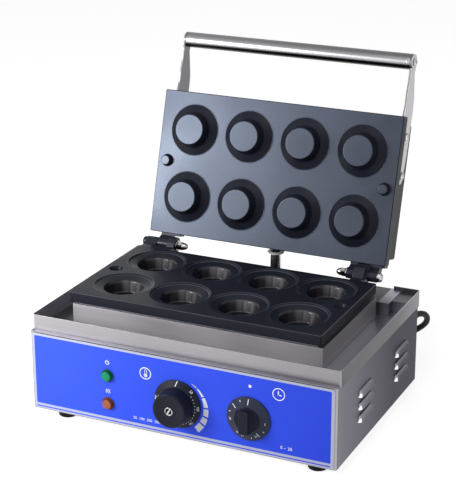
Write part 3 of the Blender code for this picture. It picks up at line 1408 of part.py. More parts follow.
def make_conduit(case, lid, materials):
    tube_piece("conduit_lead", lead_route(), LEAD_RADIUS, 2, materials["black"], case)
    clear = LEAD_RADIUS + TOUCH_GAP
    bore = SLEEVE_RADIUS - SLEEVE_WALL
    sleeve = (
        (clear, 0), (SLEEVE_FLANGE_RADIUS, 0), (SLEEVE_FLANGE_RADIUS, SLEEVE_FLANGE_HEIGHT),
        (SLEEVE_RADIUS, SLEEVE_FLANGE_HEIGHT), (SLEEVE_RADIUS, SLEEVE_HEIGHT),
        (bore, SLEEVE_HEIGHT), (bore, SLEEVE_GROMMET), (clear, SLEEVE_GROMMET),
    )
    turned_piece("conduit_sleeve", sleeve, (SLEEVE_X, SLEEVE_Y, DECK_TOP + TOUCH_GAP), "Z",
                 materials["polished"], case, MEDIUM_ROUND_STEPS, ring=True)
    gland = (
        (clear, 0), (LID_GLAND_RADIUS, 0),
        (LID_GLAND_RADIUS, LID_GLAND_THICKNESS - LID_GLAND_CHAMFER),
        (LID_GLAND_RADIUS - LID_GLAND_CHAMFER, LID_GLAND_THICKNESS), (clear, LID_GLAND_THICKNESS),
    )
    turned_piece("conduit_gland", gland, (SLEEVE_X, COVER_BACK + TOUCH_GAP, LID_GLAND_Z), "Y",
                 materials["polished"], lid, MEDIUM_ROUND_STEPS, ring=True)


# Mains cord

def coil_start():
    """The middle of the tube where the coil begins, at the coil's front."""
    return Vector((COIL_X, COIL_Y - COIL_OUTER, CORD_ON_TABLE))


def coil_points():
    """A spiral in on the table, a climb, and a spiral out on top, then a straight tail."""
    half_turns = COIL_TURNS / 2
    points = [coil_start() + Vector((2 * CORD_RADIUS, 0, 0))]
    for step in range(COIL_TURNS * COIL_STEPS + 1):
        turn = step / COIL_STEPS
        inward = half_turns - abs(turn - half_turns)
        radius = COIL_OUTER - COIL_PITCH * inward
        climb = min(max((turn - half_turns) * 2 + 0.5, 0), 1)
        lift = COIL_LAYER * (3 - 2 * climb) * climb * climb
        angle = -math.pi / 2 - 2 * math.pi * turn
        points.append(Vector((COIL_X + radius * math.cos(angle),
                              COIL_Y + radius * math.sin(angle), CORD_ON_TABLE + lift)))
    top = points[-1]
    plug_z = TABLE + PLUG_RADIUS + TOUCH_GAP
    rise = plug_z - top.z
    straight = 2 * CORD_RADIUS / TAIL_RUN
    for step in range(1, CORNER_STEPS + 1):
        share = step / CORNER_STEPS * (1 - straight)
        ease = (step / CORNER_STEPS) ** 2 * (3 - 2 * step / CORNER_STEPS)
        points.append(top + Vector((-TAIL_RUN * share, 0, rise * ease)))
    points.append(top + Vector((-TAIL_RUN, 0, rise)))
    return points


def least_gap(points, radius):
    """Smallest distance between the tube's own surfaces, away from its neighbours."""
    places = np.array([tuple(p) for p in points])
    steps = np.linalg.norm(np.diff(places, axis=0), axis=1)
    along = np.concatenate([[0], np.cumsum(steps)])
    apart = np.linalg.norm(places[:, None] - places[None], axis=2)
    near = np.abs(along[:, None] - along[None]) < math.pi * COIL_OUTER
    apart[near] = np.inf
    return float(apart.min()) - 2 * radius


def cord_points():
    """The free stretch, from the gland's end to the coil's beginning."""
    start = Vector((GLAND_X, GLAND_END + TOUCH_GAP, GLAND_Z))
    lead = start + Vector((0, CORD_RADIUS, 0))
    end = coil_start() + Vector((2 * CORD_RADIUS + TOUCH_GAP, 0, 0))
    before = end + Vector((2 * CORD_RADIUS, 0, 0))
    chosen = [(GLAND_X + x, y, z) for x, y, z in CORD_ROUTE]
    return smooth_route([start, lead, *chosen, before, end], CORD_STEPS)


def make_cord(case, materials):
    free = cord_points()
    coil = coil_points()
    tube_piece("cord_free", free, CORD_RADIUS, 2, materials["rubber"], case)
    tube_piece("cord_coil", coil, CORD_RADIUS, 1, materials["rubber"], case)
    print("cord length", route_length(free) + route_length(coil))
    print("least gap in the coil", least_gap(coil, CORD_RADIUS))
    make_plug(coil[-1], case, materials)


def make_plug(end, case, materials):
    body_end = PLUG_NECK + PLUG_SHOULDER + PLUG_BODY
    profile = (
        (PLUG_NECK_RADIUS, 0), (PLUG_NECK_RADIUS, PLUG_NECK / 2),
        (PLUG_NECK_RADIUS + CORD_RADIUS / 2, PLUG_NECK),
        (PLUG_RADIUS, PLUG_NECK + PLUG_SHOULDER), (PLUG_RADIUS, body_end),
    )
    place = (end.x - TOUCH_GAP, end.y, end.z)
    plug = turned_piece("plug", profile, place, "-X", materials["black"], case,
                        MEDIUM_ROUND_STEPS)
    pins = bmesh.new()
    for side in (-1, 1):
        middle = (place[0], place[1] + side * PLUG_PIN_SPACING / 2, place[2])
        add_turned(pins, ((PLUG_PIN_RADIUS, body_end - JOIN_OVERLAP),
                          (PLUG_PIN_RADIUS, body_end + PLUG_PIN_LENGTH)),
                   middle, "-X", SMALL_ROUND_STEPS)
    combine(plug, as_cutter(pins, "plug_pins", case), "UNION")


def make_cord_gland(case, materials):
    """A flange on the back panel with a tapered, ringed tail that carries the cord away."""
    flange = GLAND_FLANGE_LENGTH
    profile = [
        (0, -SHEET - GLAND_STEM_LENGTH), (GLAND_STEM_RADIUS, -SHEET - GLAND_STEM_LENGTH),
        (GLAND_STEM_RADIUS, 0), (GLAND_FLANGE_RADIUS, 0), (GLAND_FLANGE_RADIUS, flange),
    ]
    pitch = GLAND_TAIL / GLAND_RINGS
    for ring in range(GLAND_RINGS):
        low = flange + pitch * ring
        radius = GLAND_BASE_RADIUS + (GLAND_TIP_RADIUS - GLAND_BASE_RADIUS) * ring / GLAND_RINGS
        profile.append((radius, low))
        profile.append((radius, low + pitch / 2))
        profile.append((radius - GLAND_GROOVE, low + pitch / 2))
        profile.append((radius - GLAND_GROOVE, low + pitch))
    profile.append((0, flange + GLAND_TAIL))
    turned_piece("cord_gland", profile, (GLAND_X, CASE_DEPTH + TOUCH_GAP, GLAND_Z), "Y",
                 materials["rubber"], case, SMALL_ROUND_STEPS)


# Whole object

def settle_cuts():
    """Puts each piece's cuts into its own mesh, so that its flats and rounds shade truly."""
    graph = bpy.context.evaluated_depsgraph_get()
    shaped = [piece for piece in bpy.data.objects if piece.modifiers]
    meshes = [bpy.data.meshes.new_from_object(piece.evaluated_get(graph)) for piece in shaped]
    for piece, mesh in zip(shaped, meshes):
        shallow = piece.name in ("lower_plate", "lid_plate")
        mesh.shade_smooth()
        mesh.set_sharp_from_angle(angle=PLATE_SHARP_ANGLE if shallow else SHARP_ANGLE)
        piece.modifiers.clear()
        piece.data = mesh
    for helper in [piece for piece in bpy.data.objects if piece.hide_render]:
        bpy.data.objects.remove(helper)


def make_case(case, materials):
    holes = make_panel_holes(case)
    make_front_panel(case, materials, holes)
    make_front_film(case, materials, holes)
    make_side_panel("side_panel_left", -1, case, materials)
    make_side_panel("side_panel_right", 1, case, materials)
    make_back_panel(case, materials)
    make_bottom_plate(case, materials)
    make_drip_tray(case, materials)
    make_rear_deck(case, materials)
    make_heater_box(case, materials)
    make_inner_frame(case, materials)
    make_feet(case, materials)


def make_controls(case, materials):
    make_knob_body("thermostat_body", TEMPERATURE_X, TEMPERATURE_Z, THERMOSTAT_SIZE,
                   THERMOSTAT_LENGTH, case, materials)
    make_knob_body("timer_body", TIMER_X, TIMER_Z, TIMER_BODY_SIZE, TIMER_BODY_LENGTH, case,
                   materials)
    make_temperature_knob(case, materials)
    make_timer_knob(case, materials)
    make_thermostat_bulb(case, materials)
    make_lamp("power", LAMP_X, POWER_LAMP_Z, "green", case, materials)
    make_lamp("heat", LAMP_X, HEAT_LAMP_Z, "orange", case, materials)
    make_terminal_block(case, materials)


def make_lid(lid, materials):
    make_lid_plate(lid, materials)
    make_lid_cover(lid, materials)
    make_upper_heating(lid, materials)
    make_straps(lid, materials)
    make_handle(lid, materials)
    make_strap_screws(lid, materials)


def main():
    clear_scene()
    materials = make_materials()
    case = new_empty("case_frame", (0, -middle_of_depth(), FOOT_HEIGHT))
    hinge = new_empty("lid_hinge_axis", (0, HINGE_Y, HINGE_Z), case)
    hinge.rotation_euler.x = -OPEN_ANGLE
    lid = new_empty("lid_frame", (0, -HINGE_Y, -HINGE_Z), hinge)
    make_case(case, materials)
    make_lower_plate(case, materials)
    make_lower_heating(case, materials)
    make_controls(case, materials)
    make_lid(lid, materials)
    slots = hinge_slots()
    make_hinge_bolt("left", LEFT_KNUCKLE_OUTER_END, slots["left_end"], 1, case, materials)
    make_hinge_bolt("right", RIGHT_KNUCKLE_OUTER_END, slots["right_end"], -1, case, materials)
    make_conduit(case, lid, materials)
    make_cord_gland(case, materials)
    make_cord(case, materials)
    settle_cuts()


main()
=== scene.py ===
"""Tartlet maker with eight cups and an open lid: finishes, fine shapes, floor, lamps and camera.

Lengths are in millimetres here, and place() and Shape turn them into Blender's metres.
"""

import json
import math
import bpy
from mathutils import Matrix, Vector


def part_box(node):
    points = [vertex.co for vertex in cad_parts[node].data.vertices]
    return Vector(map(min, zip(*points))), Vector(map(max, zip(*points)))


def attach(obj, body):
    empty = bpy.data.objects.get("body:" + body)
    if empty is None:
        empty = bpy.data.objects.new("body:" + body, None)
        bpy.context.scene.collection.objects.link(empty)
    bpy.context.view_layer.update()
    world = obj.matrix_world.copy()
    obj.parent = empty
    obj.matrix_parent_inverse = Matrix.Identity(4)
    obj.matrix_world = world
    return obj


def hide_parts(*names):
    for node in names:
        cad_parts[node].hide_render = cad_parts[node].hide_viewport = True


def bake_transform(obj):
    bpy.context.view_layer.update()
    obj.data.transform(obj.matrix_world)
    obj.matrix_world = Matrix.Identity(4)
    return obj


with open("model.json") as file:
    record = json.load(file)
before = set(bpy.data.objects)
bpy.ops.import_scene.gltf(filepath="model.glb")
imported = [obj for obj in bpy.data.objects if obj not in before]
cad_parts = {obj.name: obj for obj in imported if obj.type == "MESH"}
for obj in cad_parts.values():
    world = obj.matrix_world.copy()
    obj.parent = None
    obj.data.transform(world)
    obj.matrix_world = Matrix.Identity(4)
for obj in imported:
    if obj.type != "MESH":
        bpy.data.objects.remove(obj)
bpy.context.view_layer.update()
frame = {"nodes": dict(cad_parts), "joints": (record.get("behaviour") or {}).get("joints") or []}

from types import SimpleNamespace

import bpy
from bpy.props import FloatProperty, FloatVectorProperty, IntProperty
from mathutils import Matrix, Vector
from mathutils.geometry import delaunay_2d_cdt

bl_info = {
    "name": "Tartlet maker",
    "version": (1, 0, 0),
    "blender": (4, 5, 0),
    "location": "3D View > Sidebar > Tartlet",
    "description": "Dresses the packed tartlet maker and sets its stage",
    "category": "Object",
}

MM = 0.001
FRONT_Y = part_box("front_panel")[0][1]
BASE_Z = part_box("front_panel")[0][2]
HINGE = next(j for j in frame["joints"] if j["name"] == "lid_hinge")
LID_SWING = math.radians(HINGE["range_deg"][1])
PANEL_FACE = -0.7
PRINT_LIFT = 0.05
TOUCH_GAP = 0.3
FILM_LEVEL = PANEL_FACE - PRINT_LIFT
SIDES = ((-1, "left"), (1, "right"))
FULL_TURN = 2 * math.pi
# Left and right end of the case, in metres
CASE_ENDS = (-0.20, 0.20)


# Places

def place(x, y, z):
    """A point given from the front panel's face and the case's bottom edge."""
    return Vector((x * MM, FRONT_Y + y * MM, BASE_Z + z * MM))


HINGE_Y = (HINGE["pos_m"][1] - FRONT_Y) / MM
HINGE_Z = (HINGE["pos_m"][2] - BASE_Z) / MM
HINGE_POINT = Vector(HINGE["pos_m"])
OPEN_LID = (Matrix.Translation(HINGE_POINT) @ Matrix.Rotation(-LID_SWING, 4, "X")
            @ Matrix.Translation(-HINGE_POINT))


def linear(*channels):
    """Colour values of 0 to 255 as Blender wants them."""
    shares = [value / 255 for value in channels]
    return tuple(s / 12.92 if s <= 0.04045 else ((s + 0.055) / 1.055) ** 2.4 for s in shares)


def toned(colour, factor):
    return tuple(min(1.0, channel * factor) for channel in colour)


# Sizes, finishes and stage values that a user may change

def length(name, description, default):
    return FloatProperty(name=name, description=description, default=default * MM, min=0.0001,
                         unit="LENGTH", subtype="DISTANCE", precision=5)


def colour(name, description, *channels):
    return FloatVectorProperty(name=name, description=description, size=3, subtype="COLOR",
                               default=linear(*channels), min=0, max=1)


def power(name, description, default):
    return FloatProperty(name=name, description=description, default=default, min=0, unit="POWER")


def share(name, description, default):
    return FloatProperty(name=name, description=description, default=default, min=0, max=1,
                         subtype="FACTOR")


class TARTLET_PG_sizes(bpy.types.PropertyGroup):
    """Sizes of the fine shapes."""

    cup_rim: length("Cup rim radius", "Radius of the cup's upper edge", 37)
    cup_ledge: length("Cup ledge radius", "Radius of the ring under the rim", 34.6)
    cup_well: length("Cup well radius", "Radius where the deep well begins", 23.8)
    cup_floor: length("Cup floor radius", "Radius of the cup's floor", 20.4)
    cup_depth: length("Cup depth", "Depth of the floor under the plate's face", 19.5)
    boss_base: length("Boss base radius", "Radius of a boss where it meets the lid", 32.96)
    boss_step: length("Boss step radius", "Radius where the steep part begins", 22.8)
    boss_face: length("Boss face radius", "Radius of the flat end", 19.73)
    boss_height: length("Boss height", "Height of the flat end over the lid's face", 17.9)
    plate_edge: length("Plate edge", "Rounding along both plates", 0.9)
    tube_radius: length("Handle radius", "Radius of the handle tube", 10)
    skirt: length("Temperature skirt", "Radius of the temperature knob's skirt", 30.5)
    grip: length("Temperature grip", "Radius of the temperature knob's grip", 21.4)
    timer_skirt: length("Timer skirt", "Radius of the timer knob's skirt", 27.5)
    cord_radius: length("Cord radius", "Half the thickness of the mains cord", 4)
    round_steps: IntProperty(name="Round steps", description="Sides of a large round shape",
                             default=96, min=24, max=256)


class TARTLET_PG_colours(bpy.types.PropertyGroup):
    """Colours of the finishes."""

    # The front, side and top steel tones are lit and shaded copies of one stainless sheet: painted
    # light and shade by the way a face looks.
    steel: colour("Sheet steel", "Stainless sheet that looks to the front", 166, 163, 167)
    side_steel: colour("Side steel", "Stainless sheet that looks to the side", 97, 96, 102)
    top_steel: colour("Top steel", "Stainless sheet that looks upwards", 118, 117, 124)
    polished: colour("Polished steel", "Bolts, nuts and screws", 206, 204, 204)
    # The blue field is darker at the right end as painted shade.
    film: colour("Film", "Blue field of the front film, at the left", 60, 92, 244)
    film_shade: colour("Film shade", "Blue field of the front film, at the right", 44, 72, 216)
    border: colour("Film border", "Pale border of the front film", 184, 188, 210)
    print: colour("Print", "White marks on film and knobs", 236, 238, 248)
    coating: colour("Plate coating", "Dark coating of both plates", 24, 26, 36)
    lid_face: colour("Lid face", "Satin coating of the lid plate", 33, 35, 45)
    plastic: colour("Plastic", "Knobs and plug", 24, 26, 37)
    rubber: colour("Rubber", "Cord and feet", 20, 20, 25)
    green: colour("Power lamp", "Green lens", 6, 134, 84)
    amber: colour("Heat lamp", "Amber lens", 158, 90, 60)


class TARTLET_PG_stage(bpy.types.PropertyGroup):
    """Lamps and surroundings."""

    key: power("Key lamp", "Power of the lamp at the left", 11.0)
    fill: power("Fill lamp", "Power of the lamp at the right", 3.0)
    front: power("Front lamp", "Power of the high lamp at the front", 8.0)
    ambient: share("Ambient", "Brightness of the room on dull surfaces", 0.26)
    floor_glow: share("Floor white", "White that the eye sees on the floor beside its own shade",
                      0.72)


def sizes():
    """The lengths that a user may change, in millimetres."""
    group = bpy.context.scene.tartlet_sizes
    return SimpleNamespace(**{name: getattr(group, name) / MM for name in group.__annotations__
                              if name != "round_steps"})


def round_steps():
    return bpy.context.scene.tartlet_sizes.round_steps


# Shader nodes

def fill(tree, socket, value):
    """Links a socket to another one, or sets its value."""
    if isinstance(value, bpy.types.NodeSocket):
        tree.links.new(value, socket)
    else:
        socket.default_value = value


def add(tree, kind, *values, settings=None, **named):
    """A shader node. Values fill its first inputs and names the others."""
    node = tree.nodes.new("ShaderNode" + kind)
    for key, setting in (settings or {}).items():
        setattr(node, key, setting)
    for socket, value in zip(node.inputs, values):
        fill(tree, socket, value)
    for key, value in named.items():
        fill(tree, node.inputs[key.replace("_", " ")], value)
    return node


def object_place(tree):
    return add(tree, "TexCoord").outputs["Object"]


def noise_of(tree, vector, scale, detail, roughness=0.5):
    return add(tree, "TexNoise", Vector=vector, Scale=scale, Detail=detail,
               Roughness=roughness).outputs["Fac"]


def spread_of(tree, value, low, high, to_low=0.0, to_high=1.0):
    """Stretches a value from one range to another and clamps it."""
    return add(tree, "MapRange", value, low, high, to_low, to_high).outputs["Result"]


def math_of(tree, operation, *values):
    return add(tree, "Math", *values, settings={"operation": operation}).outputs[0]


def vector_of(tree, operation, *values):
    return add(tree, "VectorMath", *values, settings={"operation": operation}).outputs[0]


def weighted_sum(tree, first, first_share, second, second_share):
    return math_of(tree, "ADD", math_of(tree, "MULTIPLY", first, first_share),
                   math_of(tree, "MULTIPLY", second, second_share))


# Shader node groups that several finishes share. Each function takes the group's tree and
# inputs, and gives its outputs by name.

def build_group(results, inputs):
    """A node group, whose inputs are given with their defaults."""
    tree = bpy.data.node_groups.new(results.__name__, "ShaderNodeTree")
    for socket, default in inputs.items():
        kind = "NodeSocketVector" if isinstance(default, tuple) else "NodeSocketFloat"
        made = tree.interface.new_socket(socket, in_out="INPUT", socket_type=kind)
        made.default_value = default
    found = results(tree, tree.nodes.new("NodeGroupInput").outputs)
    for socket in found:
        tree.interface.new_socket(socket, in_out="OUTPUT", socket_type="NodeSocketFloat")
    end = tree.nodes.new("NodeGroupOutput")
    for socket, value in found.items():
        tree.links.new(value, end.inputs[socket])


def brushed_grain(tree, given):
    """Fine lines in one direction over slow, cloudy changes."""
    spot = object_place(tree)
    fine = noise_of(tree, vector_of(tree, "MULTIPLY", spot, given["Stretch"]), 1.0, 5, 0.7)
    lines = spread_of(tree, fine, 0.32, 0.68)
    drift = spread_of(tree, noise_of(tree, spot, given["Cloud Size"], 2), 0.35, 0.65)
    return {"Mask": weighted_sum(tree, lines, 0.45, drift, 0.55), "Drift": drift,
            "Height": lines}


def cast_skin(tree, given):
    """Fine pits and a few smears, as on a coated casting or moulded plastic."""
    spot = object_place(tree)
    pits, cloud = (spread_of(tree, noise_of(tree, spot, given[size], 3), 0.34, 0.66)
                   for size in ("Pit Size", "Cloud Size"))
    return {"Mask": weighted_sum(tree, pits, 0.35, cloud, 0.65), "Drift": cloud, "Height": pits}


def edge_line(tree, given):
    """A mask that is bright where the surface turns sharply, broken by small chips. Finishes lay a
    painted highlight along sharp edges with it, and on the case's front sheets a painted dark
    line.
    """
    bevel = add(tree, "Bevel", settings={"samples": 4}, Radius=given["Reach"])
    dot = add(tree, "VectorMath", bevel.outputs["Normal"],
              add(tree, "NewGeometry").outputs["Normal"], settings={"operation": "DOT_PRODUCT"})
    turn = spread_of(tree, dot.outputs["Value"], 0.995, 0.80)
    chips = noise_of(tree, object_place(tree), given["Chip Size"], 3)
    return {"Edge": math_of(tree, "MULTIPLY", turn,
                            spread_of(tree, chips, 0.30, 0.60, 0.35, 1.0))}


def fine_scratches(tree, given):
    """Sparse thin scratches at two slants."""
    limit = math_of(tree, "SUBTRACT", 0.78, given["Density"])
    found = []
    for slant, stretch in ((0.5, (40, 9, 700)), (-0.9, (700, 30, 12))):
        turned = add(tree, "VectorRotate", object_place(tree),
                     settings={"rotation_type": "Y_AXIS"}, Angle=slant).outputs[0]
        lines = noise_of(tree, vector_of(tree, "MULTIPLY", turned, stretch), 1.0, 2, 0.55)
        found.append(math_of(tree, "GREATER_THAN", lines, limit))
    return {"Scratch": math_of(tree, "MAXIMUM", *found)}


def fold_facing(tree, given):
    """How far a face looks to the side, upwards or to the front, how far it turns at a rounded
    corner, and how far it looks up and across. Finishes paint light and shade by these masks."""
    split = add(tree, "SeparateXYZ", add(tree, "TexCoord").outputs["Normal"]).outputs
    masks = {}
    for name, axis, sign in (("Side", "X", 0), ("Top", "Z", 1), ("Front", "Y", -1)):
        value = split[axis]
        if sign:
            value = math_of(tree, "MAXIMUM", math_of(tree, "MULTIPLY", value, sign), 0.0)
        masks[name] = math_of(tree, "MULTIPLY", value, value)
    # Corner marks rounded upright corners, where sheet_finish lays a painted highlight.
    bend = math_of(tree, "MULTIPLY", masks["Side"], masks["Front"])
    masks["Corner"] = spread_of(tree, bend, 0.16, 0.25)
    # Upward and Across place the painted reflection bands of round parts.
    for name, axis in (("Upward", "Z"), ("Across", "X")):
        masks[name] = spread_of(tree, split[axis], -1.0, 1.0)
    return masks


def cup_streaks(tree, given):
    """Upright streaks of painted reflection round the wall of each well, which follow the cups'
    own spacing.
    """
    half = (0.5, 0.5, 0.5)
    value = object_place(tree)
    for operation, *other in (
            ("SUBTRACT", given["First Cup"]), ("DIVIDE", given["Pitch"]), ("ADD", half),
            ("FRACTION",), ("SUBTRACT", half), ("MULTIPLY", given["Pitch"]),
            ("MULTIPLY", (1, 1, 0)), ("NORMALIZE",)):
        value = vector_of(tree, operation, value, *other)
    return {"Streak": spread_of(tree, noise_of(tree, value, given["Count"], 2), 0.30, 0.66)}


# Finishes

class Finish:
    """One material: a Principled shader with its own values and the shared groups."""

    def __init__(self, name, base, rough, metallic=0.0, **sockets):
        self.material = bpy.data.materials.new(name)
        self.material.use_nodes = True
        self.tree = self.material.node_tree
        self.shader = self.tree.nodes["Principled BSDF"]
        for socket, value in {"Base_Color": (*base, 1), "Roughness": rough,
                              "Metallic": metallic, **sockets}.items():
            self.shader.inputs[socket.replace("_", " ")].default_value = value
        self.colour = None

    def group(self, name, **values):
        return add(self.tree, "Group", settings={"node_tree": bpy.data.node_groups[name]},
                   **values).outputs

    def blend(self, mask, low, high, kind="MIX"):
        """Base colour between two, by a mask. Either may be a colour that is already there."""
        mix = add(self.tree, "Mix", settings={"data_type": "RGBA", "blend_type": kind},
                  Factor=mask)
        for socket, value in zip((s for s in mix.inputs if s.type == "RGBA"), (low, high)):
            fill(self.tree, socket, (*value, 1) if isinstance(value, tuple) else value)
        self.colour = next(s for s in mix.outputs if s.type == "RGBA")
        self.tree.links.new(self.colour, self.shader.inputs["Base Color"])
        return self

    def over(self, mask, high):
        """Lays a colour over the present one, by a mask."""
        return self.blend(mask, self.colour, high)

    def shade(self, mask, low, high):
        """Multiplies the base colour by a factor between two, by a mask."""
        factor = spread_of(self.tree, mask, 0.0, 1.0, low, high)
        return self.blend(1.0, self.colour, factor, "MULTIPLY")

    def across(self, axis, low, high):
        """A mask that grows along an object axis from one place to another, in metres."""
        split = add(self.tree, "SeparateXYZ", object_place(self.tree)).outputs
        return spread_of(self.tree, split[axis], low, high)

    def surface(self, mask, low, high, height, strength, distance=0.08):
        """Sets the roughness by a mask and the bumps by a height, and gives the material."""
        self.tree.links.new(spread_of(self.tree, mask, 0.0, 1.0, low, high),
                            self.shader.inputs["Roughness"])
        bump = add(self.tree, "Bump", Strength=strength, Distance=distance * MM, Height=height)
        self.tree.links.new(bump.outputs["Normal"], self.shader.inputs["Normal"])
        return self.material


def sheet_finish(name, fronts, sides, tops, rough=0.34, stretch=(7, 900, 900), edge=None,
                 cloud=7.0, contrast=(0.88, 1.10), rear=(-0.16, 0.11, 1.0), strips=(), skin=None,
                 **sockets):
    """Brushed stainless sheet with painted light and shade. Each fold has its own pair of tones,
    for the left end and the right, as lit and shaded copies of the sheet; sides take painted light
    or shade towards the rear, tops may take painted shade laid in strips across, and skin is the
    painted shade of the left end's outer face beyond a place. Rounded corners take a painted
    highlight, and sharp edges a painted highlight or dark line."""
    made = Finish(name, fronts[0], rough, 1.0, **sockets)
    grain = made.group("brushed_grain", Stretch=stretch, Cloud_Size=cloud)
    line = made.group("edge_line", Reach=0.0009, Chip_Size=90.0)
    facing = made.group("fold_facing")
    along = made.across("X", *CASE_ENDS)
    # Sides: painted light and shade from the left end to the right and towards the rear.
    made.blend(along, *sides).shade(made.across("Y", *rear[:2]), 1.0, rear[2])
    # Painted shade on the left end's outer face.
    if skin:
        made.shade(made.across("X", skin[0] - 0.0002, skin[0] + 0.0002), skin[1], 1.0)
    side = made.colour
    # Tops: painted light and shade from the left end to the right, then painted shade in strips.
    made.blend(along, *tops)
    for place_x, left, right in strips:
        made.shade(made.across("X", place_x - 0.0005, place_x + 0.0005), left, right)
    top = made.colour
    # Lit and shaded copies laid by the way each face looks, a painted highlight on rounded
    # corners, and a painted highlight or dark line along sharp edges.
    made.blend(along, *fronts).over(facing["Side"], side).over(facing["Top"], top)
    made.over(facing["Corner"], toned(fronts[1], 1.5)).shade(grain["Mask"], *contrast)
    made.over(line["Edge"], edge or toned(fronts[1], 1.35))
    return made.surface(grain["Mask"], rough - 0.05, rough + 0.07, grain["Height"], 0.10, 0.06)


def even_finish(name, base, rough, stretch, **values):
    """Brushed steel of one tone all round, for small pieces, with the painted highlights of
    sheet_finish at rounded corners and sharp edges.
    """
    return sheet_finish(name, (base, base), (base, base), (base, base), rough, stretch, **values)


def skin_finish(name, base, rough, spread, pits, cloud, bump, edge=None, level=0.5):
    """Coated casting, moulded plastic or rubber."""
    made = Finish(name, base, rough, Specular_IOR_Level=level)
    skin = made.group("cast_skin", Pit_Size=pits, Cloud_Size=cloud)
    made.blend(skin["Mask"], toned(base, 1 - spread), toned(base, 1 + spread))
    # Edge is the tone of a painted highlight along sharp edges.
    if edge:
        made.over(made.group("edge_line", Reach=0.0007, Chip_Size=200.0)["Edge"], edge)
    return made.surface(skin["Drift"], rough - 0.05, rough + 0.06, skin["Height"], bump)


def banded_finish(name, bands, facing, stretch, rough, painted_shade_across=(-0.2, 0.2, 1.0)):
    """Round bright metal with bands of painted reflection along it, each at its own turn of the
    surface, and painted shade from one end to the other.
    """
    made = Finish(name, linear(190, 190, 194), rough, 1.0)
    grain = made.group("brushed_grain", Stretch=stretch, Cloud_Size=5.0)
    ramp = add(made.tree, "ValToRGB", made.group("fold_facing")[facing])
    stops = ramp.color_ramp.elements
    for index, (position, tone) in enumerate(bands):
        stop = stops[index] if index < 2 else stops.new(position)
        stop.position, stop.color = position, (tone, tone, tone * 1.04, 1)
    made.colour = ramp.outputs["Color"]
    made.shade(made.across("X", *painted_shade_across[:2]), 1.0, painted_shade_across[2]).shade(grain["Mask"], 0.86, 1.12)
    return made.surface(grain["Mask"], rough - 0.05, rough + 0.06, grain["Height"], 0.08, 0.05)


# Painted reflection bands: places over the turn of the surface, from 0 to 1, with the painted
# brightness there
TUBE_PAINTED_REFLECTIONS = ((0.0, 0.08), (0.20, 0.09), (0.27, 0.03), (0.36, 0.04), (0.47, 0.34), (0.57, 0.72),
              (0.64, 0.66), (0.70, 0.38), (0.80, 0.26), (0.90, 0.20), (1.0, 0.18))
SLEEVE_PAINTED_REFLECTIONS = ((0.166, 0.95), (0.30, 0.35), (0.41, 0.85), (0.50, 0.45), (0.59, 0.25),
                (0.67, 0.30), (0.75, 0.12), (0.82, 0.30), (0.88, 0.96), (0.94, 0.96),
                (0.98, 0.50), (1.0, 0.90))


def steel_finishes(tones):
    """Sheet of the case, bright parts and their kin, with painted light and shade."""
    front, side, top = tuple(tones.steel), tuple(tones.side_steel), tuple(tones.top_steel)
    polished = tuple(tones.polished)

    def pair(base, left, right):
        return toned(base, left), toned(base, right)
    return {
        # Painted light and shade: fronts darker and tops lighter towards the right; edges a
        # painted dark line.
        "steel": sheet_finish("brushed_sheet", pair(front, 0.9, 0.75), pair(side, 1, 1),
                              pair(top, 1.2, 2.1), edge=toned(front, 0.12)),
        # Painted light and shade: left walls lit, floor shaded at the left and lit at the right,
        # sides lit towards the rear, the left end's outer face shaded.
        "tray": sheet_finish("brushed_tray_sheet", pair(front, 0.80, 0.62), pair(side, 5.5, 0.60),
                             pair(top, 0.30, 2.4), rear=(0.03, 0.10, 2.6),
                             skin=(-0.2001, 0.22)),
        # Painted light, stronger at the left end; edges a darker painted line.
        "box": sheet_finish("brushed_box_sheet", pair(front, 1.85, 1.02), pair(front, 1.5, 0.84),
                            pair(top, 1, 1), 0.50, edge=toned(front, 0.45)),
        # Painted shade towards the rear of the side panels.
        "side": sheet_finish("brushed_side_sheet", pair(front, 1, 1), pair(side, 1.95, 1.95),
                             pair(top, 1, 1), 0.38, (900, 7, 900), edge=toned(side, 1.6),
                             rear=(-0.16, 0.02, 0.45), Specular_Tint=(0.5, 0.5, 0.52, 1.0)),
        # Painted shade in strips across the tops: darker left of x 0.163 m and right of x 0.178 m.
        "deck": sheet_finish("brushed_deck_sheet", pair(top, 1.7, 1.7), pair(side, 1, 1),
                             pair(top, 2.0, 2.0),
                             strips=((0.163, 0.13, 1.0), (0.178, 1.0, 0.24))),
        # Painted highlight on the louvres' front ends.
        "louvre_end": even_finish("pressed_end", toned(polished, 1.30), 0.28, (900, 9, 900)),
        # The straps' outer faces take a painted light, their inner faces and edges a painted
        # shade.
        "strap": even_finish("brushed_strap", toned(front, 1.4), 0.34, (900, 9, 900)),
        "strap_inside": even_finish("dull_strap", toned(front, 0.52), 0.40, (900, 9, 900)),
        "polished": even_finish("polished_round", polished, 0.18, (900, 60, 60), cloud=160.0,
                                contrast=(0.25, 1.15)),
        "sheath": even_finish("heated_sheath", linear(96, 84, 78), 0.48, (60, 60, 60),
                              cloud=60.0),
        # Painted reflections in bands round the sleeve and the tube, with painted shade towards
        # the tube's right end.
        "sleeve": banded_finish("chromed_sleeve", SLEEVE_PAINTED_REFLECTIONS, "Across", (400, 400, 3), 0.12),
        "tube": banded_finish("brushed_tube", TUBE_PAINTED_REFLECTIONS, "Upward", (3, 500, 500), 0.26,
                              (-0.15, 0.15, 0.74)),
    }


